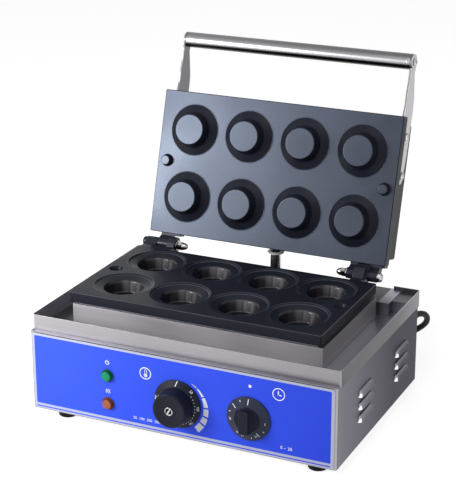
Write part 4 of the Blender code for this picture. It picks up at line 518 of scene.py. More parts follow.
# Each skin: its material's name, its colour as a tone that a user may change or as values of 0
# to 255, the factor on that colour, roughness, spread of tone, pits and clouds per metre, bump,
# the factor of the painted highlight along its sharp edges or 0, and how much it reflects
SKINS = {
    "coating": ("plate_coating", "coating", 1, 0.36, 0.20, 650, 12, 0.22, 5.0, 0.12),
    "slope": ("boss_coating", "coating", 1.25, 0.40, 0.25, 650, 18, 0.22, 0, 0.12),
    "cup": ("cup_coating", "coating", 1.1, 0.30, 0.20, 650, 20, 0.12, 0, 0.12),
    # Painted highlight lines along the rim and the ledge of each cup.
    "rim": ("cup_rim_line", (66, 68, 80), 1, 0.26, 0.20, 650, 20, 0.12, 0, 0.22),
    # A lit copy of the coating, painted light, with painted highlights along its edges.
    "lug": ("lug_coating", "coating", 1.5, 0.30, 0.25, 500, 30, 0.30, 5.0, 0.22),
    "cover": ("cover_coating", "coating", 1.2, 0.44, 0.20, 500, 9, 0.25, 2.5, 0.12),
    "plastic": ("black_moulding", "plastic", 1, 0.42, 0.18, 1100, 25, 0.18, 3.0, 0.12),
    "face": ("knob_face", "plastic", 1, 0.36, 0.16, 1300, 30, 0.22, 4.5, 0.12),
    # A lit copy of the plastic, painted light.
    "skirt": ("knob_skirt", "plastic", 3.0, 0.36, 0.16, 1300, 30, 0.18, 4.5, 0.12),
    "flange": ("pale_bushing", (226, 226, 228), 1, 0.30, 0.06, 900, 60, 0.05, 0, 0.5),
    "rubber": ("black_rubber", "rubber", 1, 0.48, 0.22, 600, 30, 0.35, 0, 0.12),
    # Painted shade: near black in recesses, bore floors, louvre insides and mouths, the screws'
    # crosses, the cap's middle and the line along the panel's top.
    "socket": ("dark_recess", "coating", 0.35, 0.60, 0.20, 500, 20, 0.20, 0, 0.12),
    "ink": ("white_ink", "print", 1, 0.50, 0.08, 1500, 60, 0.10, 0, 0.5),
    "grey_ink": ("pale_grey_ink", "print", 0.80, 0.50, 0.10, 1500, 60, 0.10, 0, 0.5),
    "wool": ("mineral_wool", (196, 186, 160), 1, 0.95, 0.18, 260, 40, 0.90, 0, 0.5),
    "ceramic": ("fired_ceramic", (226, 222, 212), 1, 0.55, 0.06, 800, 60, 0.20, 0, 0.5),
    "grey": ("grey_moulding", (120, 124, 130), 1, 0.45, 0.10, 900, 40, 0.15, 0, 0.5),
}


def skin_finishes(tones):
    """Coatings, plastics, rubber, inks and what lies inside."""
    found = {}
    for key, (name, base, factor, rough, spread, pits, cloud, bump, edge, level) in SKINS.items():
        base = tuple(getattr(tones, base)) if isinstance(base, str) else linear(*base)
        found[key] = skin_finish(name, toned(base, factor), rough, spread, pits, cloud, bump,
                                 toned(base, edge) if edge else None, level)
    return found


def lid_face_finish(tones):
    """Satin coating of the lid plate, clouded and scratched by use, with a painted sheen and
    painted highlights along its edges.
    """
    base = tuple(tones.lid_face)
    made = Finish("lid_satin_face", base, 0.33, 0.0, Specular_IOR_Level=0.60,
                  Specular_Tint=(0.68, 0.79, 1.0, 1.0))
    skin = made.group("cast_skin", Pit_Size=420.0, Cloud_Size=9.0)
    made.blend(skin["Mask"], toned(base, 0.70), toned(base, 1.40))
    # Painted sheen: the face is 1.6 times brighter at its left end and 1.5 times at its right.
    made.shade(made.across("X", -0.165, 0.165), 1.6, 1.5)
    made.over(made.group("fine_scratches", Density=0.05)["Scratch"], toned(base, 3.0))
    # Painted highlight along sharp edges.
    made.over(made.group("edge_line", Reach=0.0008, Chip_Size=160.0)["Edge"], toned(base, 4.5))
    return made.surface(skin["Drift"], 0.28, 0.38, skin["Height"], 0.12)


def well_finish(tones):
    """Glossy wall of a well, with upright streaks of painted reflection that brighten where it
    looks to the front.
    """
    coating = tuple(tones.coating)
    made = Finish("well_coating", coating, 0.22, 0.0, Specular_IOR_Level=0.25)
    skin = made.group("cast_skin", Pit_Size=650.0, Cloud_Size=20.0)
    front = made.group("fold_facing")["Front"]
    # Painted highlight: streaks brightened to the pale tone where the wall looks to the front.
    bright = math_of(made.tree, "MULTIPLY", made.group("cup_streaks", Count=3.6)["Streak"],
                     math_of(made.tree, "MULTIPLY", front, front))
    made.blend(bright, toned(coating, 0.8), linear(118, 115, 118)).shade(skin["Mask"], 0.8, 1.2)
    return made.surface(skin["Drift"], 0.18, 0.30, skin["Height"], 0.10)


def film_finish(name, left, right, level, cloud, shaded, tones, roughened, rough):
    """A print on the film, from its left end to its right, darker at the right as painted shade.
    """
    made = Finish(name, left, rough[0], 0.0, Specular_IOR_Level=level)
    skin = made.group("cast_skin", Pit_Size=900.0, Cloud_Size=cloud)
    made.blend(made.across("X", *CASE_ENDS), left, right).shade(skin[shaded], *tones)
    return made.surface(skin[roughened], *rough, skin["Height"], 0.05, 0.05)


def lens_finish(name, base, rough, glow):
    """A moulded lens with a little light of its own from its depth."""
    made = Finish(name, base, rough, 0.0, Specular_IOR_Level=0.2, Emission_Color=(*base, 1),
                  Emission_Strength=glow)
    skin = made.group("cast_skin", Pit_Size=300.0, Cloud_Size=160.0)
    made.blend(skin["Drift"], toned(base, 0.90), toned(base, 1.10))
    return made.surface(skin["Mask"], rough - 0.05, rough + 0.08, skin["Height"], 0.12)


def lone_finishes(tones):
    """The lid's face, the wells, the film's prints and the lenses."""
    border, green, amber = tuple(tones.border), tuple(tones.green), tuple(tones.amber)
    return {
        "lid_face": lid_face_finish(tones),
        "well": well_finish(tones),
        "field": film_finish("film_blue_field", tuple(tones.film), tuple(tones.film_shade),
                             0.12, 5.0, "Drift", (0.94, 1.04), "Mask", (0.32, 0.42)),
        "border": film_finish("film_pale_border", border, toned(border, 0.90), 0.2, 6.0,
                              "Mask", (0.95, 1.05), "Drift", (0.38, 0.48)),
        "green": lens_finish("green_lens", green, 0.34, 0.05),
        "green_rim": lens_finish("green_lens_rim", toned(green, 0.38), 0.40, 0.0),
        "amber": lens_finish("amber_lens", amber, 0.34, 0.05),
        "amber_rim": lens_finish("amber_lens_rim", toned(amber, 0.42), 0.40, 0.0),
    }


FINISHES = {}


class TARTLET_OT_finishes(bpy.types.Operator):
    """Build the shared shader groups and every finish from them"""

    bl_idname = "tartlet.finishes"
    bl_label = "Finishes"

    def execute(self, context):
        build_group(brushed_grain, {"Stretch": (8, 900, 900), "Cloud Size": 9.0})
        build_group(cast_skin, {"Pit Size": 700.0, "Cloud Size": 14.0})
        build_group(edge_line, {"Reach": 0.0008, "Chip Size": 220.0})
        build_group(fine_scratches, {"Density": 0.06})
        build_group(fold_facing, {})
        build_group(cup_streaks, {"Pitch": (CUP_PITCH_X * MM, CUP_PITCH_Y * MM, 1),
                                  "First Cup": tuple(place(*cup_places()[0], 0)), "Count": 5.0})
        for build in (steel_finishes, skin_finishes, lone_finishes):
            FINISHES.update(build(context.scene.tartlet_colours))
        return {"FINISHED"}


# Shapes

def filleted(corners, steps=4):
    """Outline points from corners (radius, height, rounding, slot), of which the last two may be
    left out where they are 0; each row keeps its slot."""
    corners = [(*corner, 0, 0)[:4] for corner in corners]
    points = []
    for index, (across, up, fillet, slot) in enumerate(corners):
        here = Vector((across, up))
        if not fillet or index in (0, len(corners) - 1):
            points.append((across, up, slot))
            continue
        ways = [Vector(corners[index + step][:2]) - here for step in (-1, 1)]
        start, end = (here + way.normalized() * min(fillet, way.length * 0.45) for way in ways)
        for step in range(steps + 1):
            t = step / steps
            point = start * (1 - t) ** 2 + here * 2 * t * (1 - t) + end * t * t
            points.append((point.x, point.y, corners[index - 1][3] if t < 0.5 else slot))
    return points


def rounded_rectangle(low, high, corner, steps=6):
    """Points round a rectangle with arcs at its corners."""
    points = []
    centres = ((high[0] - corner, high[1] - corner), (low[0] + corner, high[1] - corner),
               (low[0] + corner, low[1] + corner), (high[0] - corner, low[1] + corner))
    for quarter, (x, y) in enumerate(centres):
        for step in range(steps + 1):
            angle = math.pi / 2 * (quarter + step / steps)
            points.append((x + corner * math.cos(angle), y + corner * math.sin(angle)))
    return points


X, Y, Z = Vector((1, 0, 0)), Vector((0, 1, 0)), Vector((0, 0, 1))
AXES = {"X": (X, Y, Z), "-X": (-X, Y, Z), "Y": (Y, X, Z), "-Y": (-Y, X, Z), "Z": (Z, X, Y),
        "-Z": (-Z, X, Y)}
OPEN_ENDS = (False, False)
# Points nearer than this become one, in metres, and faces within this share of a hole go
MERGE_REACH, HOLE_SHARE = 1e-8, 0.997


class Shape:
    """Points and faces of one piece, gathered before they become a mesh."""

    def __init__(self):
        self.points, self.faces, self.slots = [], [], []

    def add(self, points, faces, slot):
        base = len(self.points)
        self.points.extend(Vector(p) for p in points)
        self.faces.extend(tuple(base + i for i in face) for face in faces)
        self.slots.extend([slot] * len(faces) if isinstance(slot, int) else slot)

    def face_outward(self, first, middle, inward=False):
        """Turns the faces added since first so that they look away from a middle point."""
        total = 0.0
        for face in self.faces[first:]:
            a, b, c = (self.points[i] for i in face[:3])
            centre = sum((self.points[i] for i in face), Vector()) / len(face)
            total += (b - a).cross(c - a).dot(centre - middle(centre))
        if (total < 0) != inward:
            self.faces[first:] = [tuple(reversed(face)) for face in self.faces[first:]]

    def loft(self, sections, slots=0, closed=True, ends=(True, True), middle=None, inward=False):
        """A skin through sections of equal count, with its ends closed or open."""
        first, count, last = len(self.faces), len(sections[0]), len(sections) - 1
        slots = [slots] * last if isinstance(slots, int) else slots
        points = [Vector(p) for section in sections for p in section]
        faces, marks = [], []
        for row in range(last):
            for i in range(count if closed else count - 1):
                a, j = row * count, (i + 1) % count
                quad = (a + i, a + j, a + count + j, a + count + i)
                if (points[quad[0]] - points[quad[1]]).length < 1e-9:
                    quad = (quad[0], quad[2], quad[3])
                elif (points[quad[2]] - points[quad[3]]).length < 1e-9:
                    quad = quad[:3]
                faces.append(quad)
                marks.append(slots[row])
        if ends[0]:
            faces.append(tuple(reversed(range(count))))
            marks.append(slots[0])
        if ends[1]:
            faces.append(tuple(range(last * count, (last + 1) * count)))
            marks.append(slots[last - 1])
        self.add(points, faces, marks)
        whole = sum(points, Vector()) / len(points)
        self.face_outward(first, middle or (lambda _: whole), inward)
        return self

    def turned(self, profile, centre, axis, steps=None, inward=False, squash=None):
        """Turns (radius, height, slot) rows about an axis through centre."""
        steps = steps or round_steps()
        along, side, up = AXES[axis]
        rings = []
        for radius, height, _ in profile:
            ring = []
            for step in range(steps):
                angle = FULL_TURN * step / steps
                reach = radius * MM * (squash(angle) if squash else 1)
                ring.append(centre + along * height * MM
                            + (side * math.cos(angle) + up * math.sin(angle)) * reach)
            rings.append(ring)
        return self.loft(rings, [row[2] for row in profile], ends=OPEN_ENDS, inward=inward,
                         middle=lambda p: centre + along * (p - centre).dot(along))

    def slab(self, low, high, bottom, top, corner, edge, slots=(0, 0, 0), shell=False, line=None):
        """A plate with rounded corners and edges; slots are its side, top and bottom, and line
        that of its top edge. A shell has neither top nor bottom."""
        def outline(inset):
            return rounded_rectangle((low[0] + inset, low[1] + inset),
                                     (high[0] - inset, high[1] - inset),
                                     max(corner - inset, corner * 0.3))
        sections, steps = [], 4
        for level, direction in ((bottom, 1), (top, -1)):
            arc = []
            for step in range(steps + 1):
                angle = math.pi / 2 * step / steps
                lift = edge * (1 - math.cos(angle)) * direction
                arc.append([place(x, y, level + lift)
                            for x, y in outline(edge * (1 - math.sin(angle)))])
            sections.extend(arc[::direction])
        rows = [slots[0]] * (2 * steps + 1)
        if line is not None:
            rows[steps + 2:2 * steps] = [line] * (steps - 2)
        self.loft(sections, rows, ends=OPEN_ENDS)
        for level, slot, order in ((bottom, slots[2], -1), (top, slots[1], 1)):
            if not shell:
                ring = [place(x, y, level) for x, y in outline(edge)][::order]
                self.add(ring, [tuple(range(len(ring)))], slot)
        return self

    def prism(self, outline, low, high, edge, slot=0):
        """A (y, z) outline carried along x, with softened ends; slot may be one for each row."""
        ys, zs = zip(*outline)
        middle_y, middle_z = (min(ys) + max(ys)) / 2, (min(zs) + max(zs)) / 2
        sections = []
        for x, inward in ((low, 1), (low + edge * 0.35, 0.35), (low + edge, 0),
                          (high - edge, 0), (high - edge * 0.35, 0.35), (high, 1)):
            scale_y = 1 - 2 * edge / (max(ys) - min(ys)) * inward
            scale_z = 1 - 2 * edge / (max(zs) - min(zs)) * inward
            sections.append([place(x, middle_y + (y - middle_y) * scale_y,
                                   middle_z + (z - middle_z) * scale_z) for y, z in outline])
        return self.loft(sections, slot)

    def block(self, ys, zs, low, high, edge, slot):
        """A box with softened ends, between two depths and two heights."""
        return self.prism([(ys[0], zs[0]), (ys[1], zs[0]), (ys[1], zs[1]), (ys[0], zs[1])],
                          low, high, edge, slot)

    def holed(self, outline, circles, lay, away):
        """A flat face with round holes, as small triangles. Lay gives the place of a point, and
        away is the way that the face looks."""
        points = [Vector((x * MM, y * MM)) for x, y in outline]
        edges = [(i, (i + 1) % len(outline)) for i in range(len(outline))]
        for x, y, radius, steps in circles:
            base = len(points)
            for step in range(steps):
                angle = FULL_TURN * step / steps
                points.append(Vector(((x + radius * math.cos(angle)) * MM,
                                      (y + radius * math.sin(angle)) * MM)))
                edges.append((base + step, base + (step + 1) % steps))
        points, _, found = delaunay_2d_cdt(points, edges, [], 1, MERGE_REACH)[:3]
        faces = []
        for face in found:
            centre = sum((points[i] for i in face), Vector((0, 0))) / len(face)
            if all((centre / MM - Vector((x, y))).length > radius * HOLE_SHARE
                   for x, y, radius, _ in circles):
                faces.append(tuple(face))
        first = len(self.faces)
        self.add([lay(p.x / MM, p.y / MM) for p in points], faces, 0)
        self.face_outward(first, lambda p: p - away)
        return self


def make(name, shape, materials, closed_lid=False, sharp=32, weighted=True):
    """Makes the mesh object of a shape, swung open where it belongs to the lid."""
    mesh = bpy.data.meshes.new(name)
    mesh.from_pydata([tuple(p) for p in shape.points], [], shape.faces)
    for material in materials:
        mesh.materials.append(FINISHES[material])
    mesh.polygons.foreach_set("material_index", shape.slots)
    mesh.polygons.foreach_set("use_smooth", [True] * len(shape.faces))
    mesh.validate()
    if closed_lid:
        mesh.transform(OPEN_LID)
    mesh.update()
    mesh.set_sharp_from_angle(angle=math.radians(sharp))
    made = bpy.data.objects.new(name, mesh)
    bpy.context.scene.collection.objects.link(made)
    if weighted:
        weigh(made)
    return made


def weigh(piece):
    """Keeps large flat faces flat beside small rounded ones."""
    modifier = piece.modifiers.new("even_shading", "WEIGHTED_NORMAL")
    modifier.keep_sharp = True
    modifier.weight = 60


def settle(piece, body, slot, *nodes):
    """Sets a piece on its body and in the place of CAD nodes, which it hides. The slot is not
    used.
    """
    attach(piece, body)
    if nodes:
        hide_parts(*nodes)
    return piece


def dress(finish, edge, *nodes):
    """Gives CAD nodes their finish and soft edges."""
    for node in nodes:
        piece = frame["nodes"][node]
        piece.data.materials.clear()
        piece.data.materials.append(FINISHES[finish])
        if edge:
            piece.modifiers.new("weld", "WELD").merge_threshold = 0.00001
            bevel = piece.modifiers.new("soft_edges", "BEVEL")
            bevel.width, bevel.segments = edge * MM, 2
            bevel.limit_method, bevel.angle_limit = "ANGLE", math.radians(40)
            bevel.harden_normals = False
            weigh(piece)


# Flat artwork on the film and the knobs, as polygons in (x, z)

def polar(x, z, radius, degrees):
    """A point round another one; degrees run clockwise from the top."""
    angle = math.radians(degrees)
    return x + radius * math.sin(angle), z + radius * math.cos(angle)


class Art:
    """Printed marks, gathered as flat polygons."""

    def __init__(self):
        self.polygons = []

    def disc(self, x, z, radius, steps=20):
        self.polygons.append([(x + radius * math.cos(FULL_TURN * i / steps),
                               z + radius * math.sin(FULL_TURN * i / steps))
                              for i in range(steps)])
        return self

    def arc(self, x, z, inner, outer, start, end, steps=12):
        """A band between two radii, each one number or a pair for its start and its end."""
        rims = [radius if isinstance(radius, tuple) else (radius, radius)
                for radius in (inner, outer)]
        for i in range(steps):
            near, far = ([polar(x, z, rim[0] + (rim[1] - rim[0]) * part,
                                start + (end - start) * part)
                          for part in (i / steps, (i + 1) / steps)] for rim in rims)
            self.polygons.append([*near, *reversed(far)])
        return self

    def line(self, start, end, width):
        (x0, z0), (x1, z1) = start, end
        across = Vector((x1 - x0, z1 - z0)).normalized() * width / 2
        self.polygons.append([(x0 + across.y, z0 - across.x), (x1 + across.y, z1 - across.x),
                              (x1 - across.y, z1 + across.x), (x0 - across.y, z0 + across.x)])
        return self

    def tick(self, x, z, angle, inner, outer, width):
        """A radial line on a dial."""
        return self.line(polar(x, z, inner, angle), polar(x, z, outer, angle), width)

    def box(self, low, high):
        self.polygons.append([low, (high[0], low[1]), high, (low[0], high[1])])
        return self

    def digits(self, body, size, x, z, angle=0.0):
        """Plain numbers, centred on a point and turned clockwise."""
        curve = bpy.data.curves.new("digits", "FONT")
        curve.body, curve.size = body, size * MM
        curve.align_x, curve.align_y = "CENTER", "CENTER"
        curve.resolution_u = 3
        holder = bpy.data.objects.new("digits", curve)
        bpy.context.scene.collection.objects.link(holder)
        bpy.context.view_layer.update()
        mesh = holder.evaluated_get(bpy.context.evaluated_depsgraph_get()).to_mesh()
        turn = Matrix.Rotation(-math.radians(angle), 2)
        for polygon in mesh.polygons:
            flat = [turn @ mesh.vertices[i].co.xy / MM for i in polygon.vertices]
            self.polygons.append([(x + p.x, z + p.y) for p in flat])
        bpy.data.objects.remove(holder)
        bpy.data.curves.remove(curve)
        return self

    def piece(self, name, finish, surface):
        """Lays the marks on a surface, given as a depth y for each (x, z)."""
        shape = Shape()
        for polygon in self.polygons:
            area = sum(a[0] * b[1] - b[0] * a[1]
                       for a, b in zip(polygon, polygon[1:] + polygon[:1]))
            ring = polygon if area > 0 else list(reversed(polygon))
            shape.add([place(x, surface(x, z) - PRINT_LIFT, z) for x, z in ring],
                      [tuple(range(len(ring)))], 0)
        return make(name, shape, [finish], weighted=False)


# Camera, floor and lamps. Their lengths are in metres.

CAMERA_YAW, CAMERA_PITCH, CAMERA_ROLL = (math.radians(turn) for turn in (25.25, 20.08, -0.20))
CAMERA_DISTANCE, CAMERA_ASIDE, CAMERA_ABOVE = 1.95266, -0.00495, 0.06221
SENSOR_HEIGHT, IMAGE_HEIGHT, FOCAL_PIXELS = 24.0, 500, 1578.39
CLIP_START, CLIP_END = 0.05, 60
LOOKED_AT = place(0, 150, 120)
FLOOR_LEVEL, FLOOR_STEPS, FLOOR_RINGS = -0.0002, 96, (12.0, 3.0, 1.0)
# Size, place and target of each lamp
LAMPS = {
    "key": (0.4, (-0.74, -0.82, 0.53), (0, 0, 0.2)),
    "fill": (1.4, (1.9, -0.9, 1.0), (0, 0, 0.15)),
    "front": (1.0, (0.2, -1.1, 1.75), (0, 0, 0.1)),
}


def build_camera():
    """The camera at the photograph's view."""
    back = Vector((math.sin(CAMERA_YAW) * math.cos(CAMERA_PITCH),
                   -math.cos(CAMERA_YAW) * math.cos(CAMERA_PITCH), math.sin(CAMERA_PITCH)))
    right = Vector((math.cos(CAMERA_YAW), math.sin(CAMERA_YAW), 0))
    up = back.cross(right)
    aside = right * math.cos(CAMERA_ROLL) + up * math.sin(CAMERA_ROLL)
    above = up * math.cos(CAMERA_ROLL) - right * math.sin(CAMERA_ROLL)
    data = bpy.data.cameras.new("photo_camera")
    data.sensor_fit, data.sensor_height = "VERTICAL", SENSOR_HEIGHT
    data.lens = FOCAL_PIXELS / IMAGE_HEIGHT * SENSOR_HEIGHT
    data.clip_start, data.clip_end = CLIP_START, CLIP_END
    camera = bpy.data.objects.new("photo_camera", data)
    matrix = Matrix((aside, above, back)).transposed().to_4x4()
    matrix.translation = (LOOKED_AT + back * CAMERA_DISTANCE + aside * CAMERA_ASIDE
                          + above * CAMERA_ABOVE)
    camera.matrix_world = matrix
    bpy.context.scene.collection.objects.link(camera)
    bpy.context.scene.camera = camera


def seen_directly(tree, unseen, seen):
    """One value for rays from the camera, from gloss and through glass, another for the rest."""
    path = add(tree, "LightPath").outputs
    found = math_of(tree, "MAXIMUM", path["Is Camera Ray"], path["Is Glossy Ray"])
    found = math_of(tree, "MAXIMUM", found, path["Is Transmission Ray"])
    return spread_of(tree, found, 0.0, 1.0, unseen, seen)


def build_world(stage):
    world = bpy.data.worlds.new("white_room")
    bpy.context.scene.world = world
    world.use_nodes = True
    tree = world.node_tree
    light = tree.nodes["Background"].inputs
    light["Color"].default_value = (1, 1, 1, 1)
    tree.links.new(seen_directly(tree, stage.ambient, 1.0), light["Strength"])


def build_floor(stage):
    """A pale floor that looks white and keeps the object's shadow."""
    turns = [FULL_TURN * i / FLOOR_STEPS for i in range(FLOOR_STEPS)]
    rings = [[Vector((radius * math.cos(turn), radius * math.sin(turn), FLOOR_LEVEL))
              for turn in turns] for radius in FLOOR_RINGS]
    shape = Shape().loft(rings, 0, ends=OPEN_ENDS, middle=lambda p: p - Z)
    shape.add(rings[-1], [tuple(range(FLOOR_STEPS))], 0)
    made = Finish("pale_floor", (0.82, 0.82, 0.82), 0.9, Specular_IOR_Level=0.1,
                  Emission_Color=(1, 1, 1, 1))
    grain = made.group("cast_skin", Pit_Size=60.0, Cloud_Size=2.0)
    made.blend(grain["Mask"], (0.80, 0.80, 0.80), (0.84, 0.84, 0.84))
    made.tree.links.new(seen_directly(made.tree, 0.0, stage.floor_glow),
                        made.shader.inputs["Emission Strength"])
    FINISHES["floor"] = made.material
    make("floor", shape, ["floor"], weighted=False)


def build_lamp(name, power, size, position, target):
    data = bpy.data.lights.new(name, "AREA")
    data.shape, data.size, data.energy = "SQUARE", size, power
    lamp = bpy.data.objects.new(name, data)
    lamp.location = position
    lamp.rotation_euler = (Vector(target) - Vector(position)).to_track_quat("-Z", "Y").to_euler()
    bpy.context.scene.collection.objects.link(lamp)


class TARTLET_OT_stage(bpy.types.Operator):
    """Set the camera, the white room, the floor and three soft lamps"""

    bl_idname = "tartlet.stage"
    bl_label = "Stage"

    def execute(self, context):
        stage = context.scene.tartlet_stage
        build_camera()
        build_world(stage)
        build_floor(stage)
        for name, lamp in LAMPS.items():
            build_lamp(f"{name}_lamp", getattr(stage, name), *lamp)
        context.scene.view_settings.view_transform = "Standard"
        return {"FINISHED"}


# Mains cord, its gland and plug

GLAND_X, GLAND_Z, GLAND_FLANGE, GLAND_TAIL, GLAND_RINGS = 186, 72, 3, 22, 5
CASE_BACK = 274.3
CORD_LEVEL = -11
CORD_ROUTE = (
    (186, 306, 72), (187, 318, 71), (189.5, 329.5, 67.5), (191, 339, 61.2), (190, 346, 53),
    (185.5, 351, 44.5), (177, 354, 36), (164, 354.5, 26.5), (148, 352, 16), (132, 344, 5.5),
    (117, 330, -3.5), (102, 313, -9), (85, 299, -10.9), (70, 293.2, -11),
)
COIL_X, COIL_Y, COIL_OUTER = 40, 349, 56.8
COIL_PITCH, COIL_LAYER, COIL_TURNS, COIL_STEPS = 8.8, 8.7, 4, 40
TAIL_RUN, TAIL_STEPS, PLUG_LEVEL = 50, 6, 3.3
PLUG_RADIUS, PLUG_END, PLUG_PIN_END, PLUG_PIN_ASIDE = 18, 40, 59, 9.5
RIBS, RIB_START, RIB_PITCH, RIB_DEPTH = 4, 21.2, 4, 0.9


def smooth_route(points, steps):
    """Points along a smooth curve through the chosen points."""
    chain = [Vector(p) for p in points]
    chain = [2 * chain[0] - chain[1]] + chain + [2 * chain[-1] - chain[-2]]
    route = []
    for a, b, c, d in zip(chain, chain[1:], chain[2:], chain[3:]):
        for step in range(steps):
            t = step / steps
            route.append(b + (c - a) * t / 2 + (2 * a - 5 * b + 4 * c - d) * t * t / 2
                         + (3 * b - a - 3 * c + d) * t ** 3 / 2)
    return [*route, chain[-2]]


def eased(part):
    """A share of a climb that starts and ends level."""
    return part * part * (3 - 2 * part)


def coil_route():
    """In on the floor, a climb, out on top, then a straight tail up to the plug."""
    half = COIL_TURNS / 2
    points = []
    for step in range(COIL_TURNS * COIL_STEPS + 1):
        turn = step / COIL_STEPS
        radius = COIL_OUTER - COIL_PITCH * (half - abs(turn - half))
        climb = eased(min(max((turn - half) * 2 + 0.5, 0), 1))
        angle = -math.pi / 2 - FULL_TURN * turn
        points.append(Vector((COIL_X + radius * math.cos(angle), COIL_Y + radius * math.sin(angle),
                              CORD_LEVEL + COIL_LAYER * climb)))
    top = points[-1]
    for step in range(1, TAIL_STEPS + 1):
        part = step / TAIL_STEPS
        points.append(top + Vector((-TAIL_RUN * part, 0, (PLUG_LEVEL - top.z) * eased(part))))
    return points


def cord_route():
    start = Vector((GLAND_X, CASE_BACK + GLAND_FLANGE + GLAND_TAIL + TOUCH_GAP, GLAND_Z))
    before = Vector((COIL_X + 8.3, COIL_Y - COIL_OUTER, CORD_LEVEL))
    return smooth_route([start, start + 4 * Y, *CORD_ROUTE, before + 8 * X, before], 3)


def build_cord_curve(radius):
    curve = bpy.data.curves.new("mains_cord", "CURVE")
    curve.dimensions, curve.use_fill_caps = "3D", True
    curve.bevel_depth, curve.bevel_resolution = radius * MM, 3
    points = cord_route() + coil_route()
    spline = curve.splines.new("POLY")
    spline.points.add(len(points) - 1)
    for target, point in zip(spline.points, points):
        target.co = (*place(*point), 1)
    spline.use_smooth = True
    curve.materials.append(FINISHES["rubber"])
    cord = bpy.data.objects.new("mains_cord", curve)
    bpy.context.scene.collection.objects.link(cord)
    return cord, points


def build_gland():
    """The flange and the ringed, tapered tail that hold the cord."""
    corners = [(0, 0), (10, 0, 0.6), (10, GLAND_FLANGE, 0.8)]
    pitch = GLAND_TAIL / GLAND_RINGS
    for ring in range(GLAND_RINGS):
        low = GLAND_FLANGE + pitch * ring
        radius = 8 - 2.5 * ring / GLAND_RINGS
        corners += [(radius, low, 0.3), (radius, low + pitch * 0.6, 0.3),
                    (radius - 0.8, low + pitch * 0.6, 0.2), (radius - 0.8, low + pitch, 0.2)]
    corners += [(4.2, GLAND_FLANGE + GLAND_TAIL, 0.2)]
    shape = Shape().turned(filleted(corners, 2), place(GLAND_X, CASE_BACK, GLAND_Z), "Y", 48)
    return make("cord_strain_relief", shape, ["rubber"])


def build_plug(end):
    """A round two-pin plug with a ribbed grip."""
    start = place(end.x - TOUCH_GAP, end.y, end.z)
    corners = [(4.2, 0), (5.8, 0.4, 0.4), (5.8, 6, 0.6), (7.8, 12, 2), (PLUG_RADIUS, 20, 4)]
    for rib in range(RIBS):
        low = RIB_START + rib * RIB_PITCH
        corners += [(PLUG_RADIUS, low, 0.3), (PLUG_RADIUS - RIB_DEPTH, low + 0.5, 0.3),
                    (PLUG_RADIUS - RIB_DEPTH, low + 1.5, 0.3), (PLUG_RADIUS, low + 2, 0.3)]
    corners += [(PLUG_RADIUS, PLUG_END, 1.2), (0, PLUG_END)]
    shape = Shape().turned(filleted(corners, 3), start, "-X", 64)
    pin = filleted([(2.4, PLUG_END - 1, 0, 1), (2.4, PLUG_PIN_END - 0.4, 1.2, 1),
                    (0, PLUG_PIN_END, 0, 1)])
    collar = filleted([(3.2, PLUG_END - 1), (3.2, PLUG_END + 1.2, 0.5), (2.2, PLUG_END + 1.2)])
    for side in (-1, 1):
        for profile in (pin, collar):
            shape.turned(profile, start + Y * side * PLUG_PIN_ASIDE * MM, "-X", 24)
    return make("mains_plug", shape, ["plastic", "polished"])


class TARTLET_OT_cord(bpy.types.Operator):
    """Lay the mains cord from its gland to the coil and the plug"""

    bl_idname = "tartlet.cord"
    bl_label = "Mains cord"

    def execute(self, context):
        radius = sizes().cord_radius
        cord, points = build_cord_curve(radius)
        settle(cord, "root", "black_rubber", "cord_free", "cord_coil")
        gland = settle(build_gland(), "root", "black_rubber", "cord_gland")
        plug = settle(build_plug(points[-1]), "root", "black_plastic", "plug")
        return {"FINISHED"}


# Case

SIDE_FACE, SHEET, CASE_DEPTH = 200, 1.2, 274
SIDE_FRONT, SIDE_TOP = 7.8, 99
LOUVRE_LENGTH, LOUVRE_HEIGHT, LOUVRE_PROUD, LOUVRE_WALL = 45, 9, 5, 1
LOUVRE_LEVELS, LOUVRE_MIDDLES = (31, 47.2, 63), (89.1, 214)
LOUVRE_ROWS, LOUVRE_STEPS = 8, 24
# The first two size the dark patch of painted shadow in each louvre's mouth.
MOUTH_SHADE_HALF, MOUTH_SHADE_HEIGHT, BEHIND = 19, 5.5, 4
# How many faces of each front row take the painted highlight at the louvre's front end.
PAINTED_HIGHLIGHT_FACES = (6, 5, 5, 4)


def louvre_grid(side, middle, level, inset):
    """Sections of a pressed scoop whose mouth looks down."""
    half, height = LOUVRE_LENGTH / 2 - inset, LOUVRE_HEIGHT - inset
    sections = []
    for along in range(LOUVRE_STEPS + 1):
        angle = math.pi * along / LOUVRE_STEPS
        size = max(1 - abs(math.cos(angle)) ** 7, 0.0) ** 0.5
        proud = (LOUVRE_PROUD - inset) * size
        sections.append([
            place(side * (SIDE_FACE + proud * math.cos(lift) ** 0.8 - 0.1),
                  middle - half * math.cos(angle), level + height * size * math.sin(lift))
            for lift in (math.pi / 2 * up / LOUVRE_ROWS for up in range(LOUVRE_ROWS + 1))])
    return sections


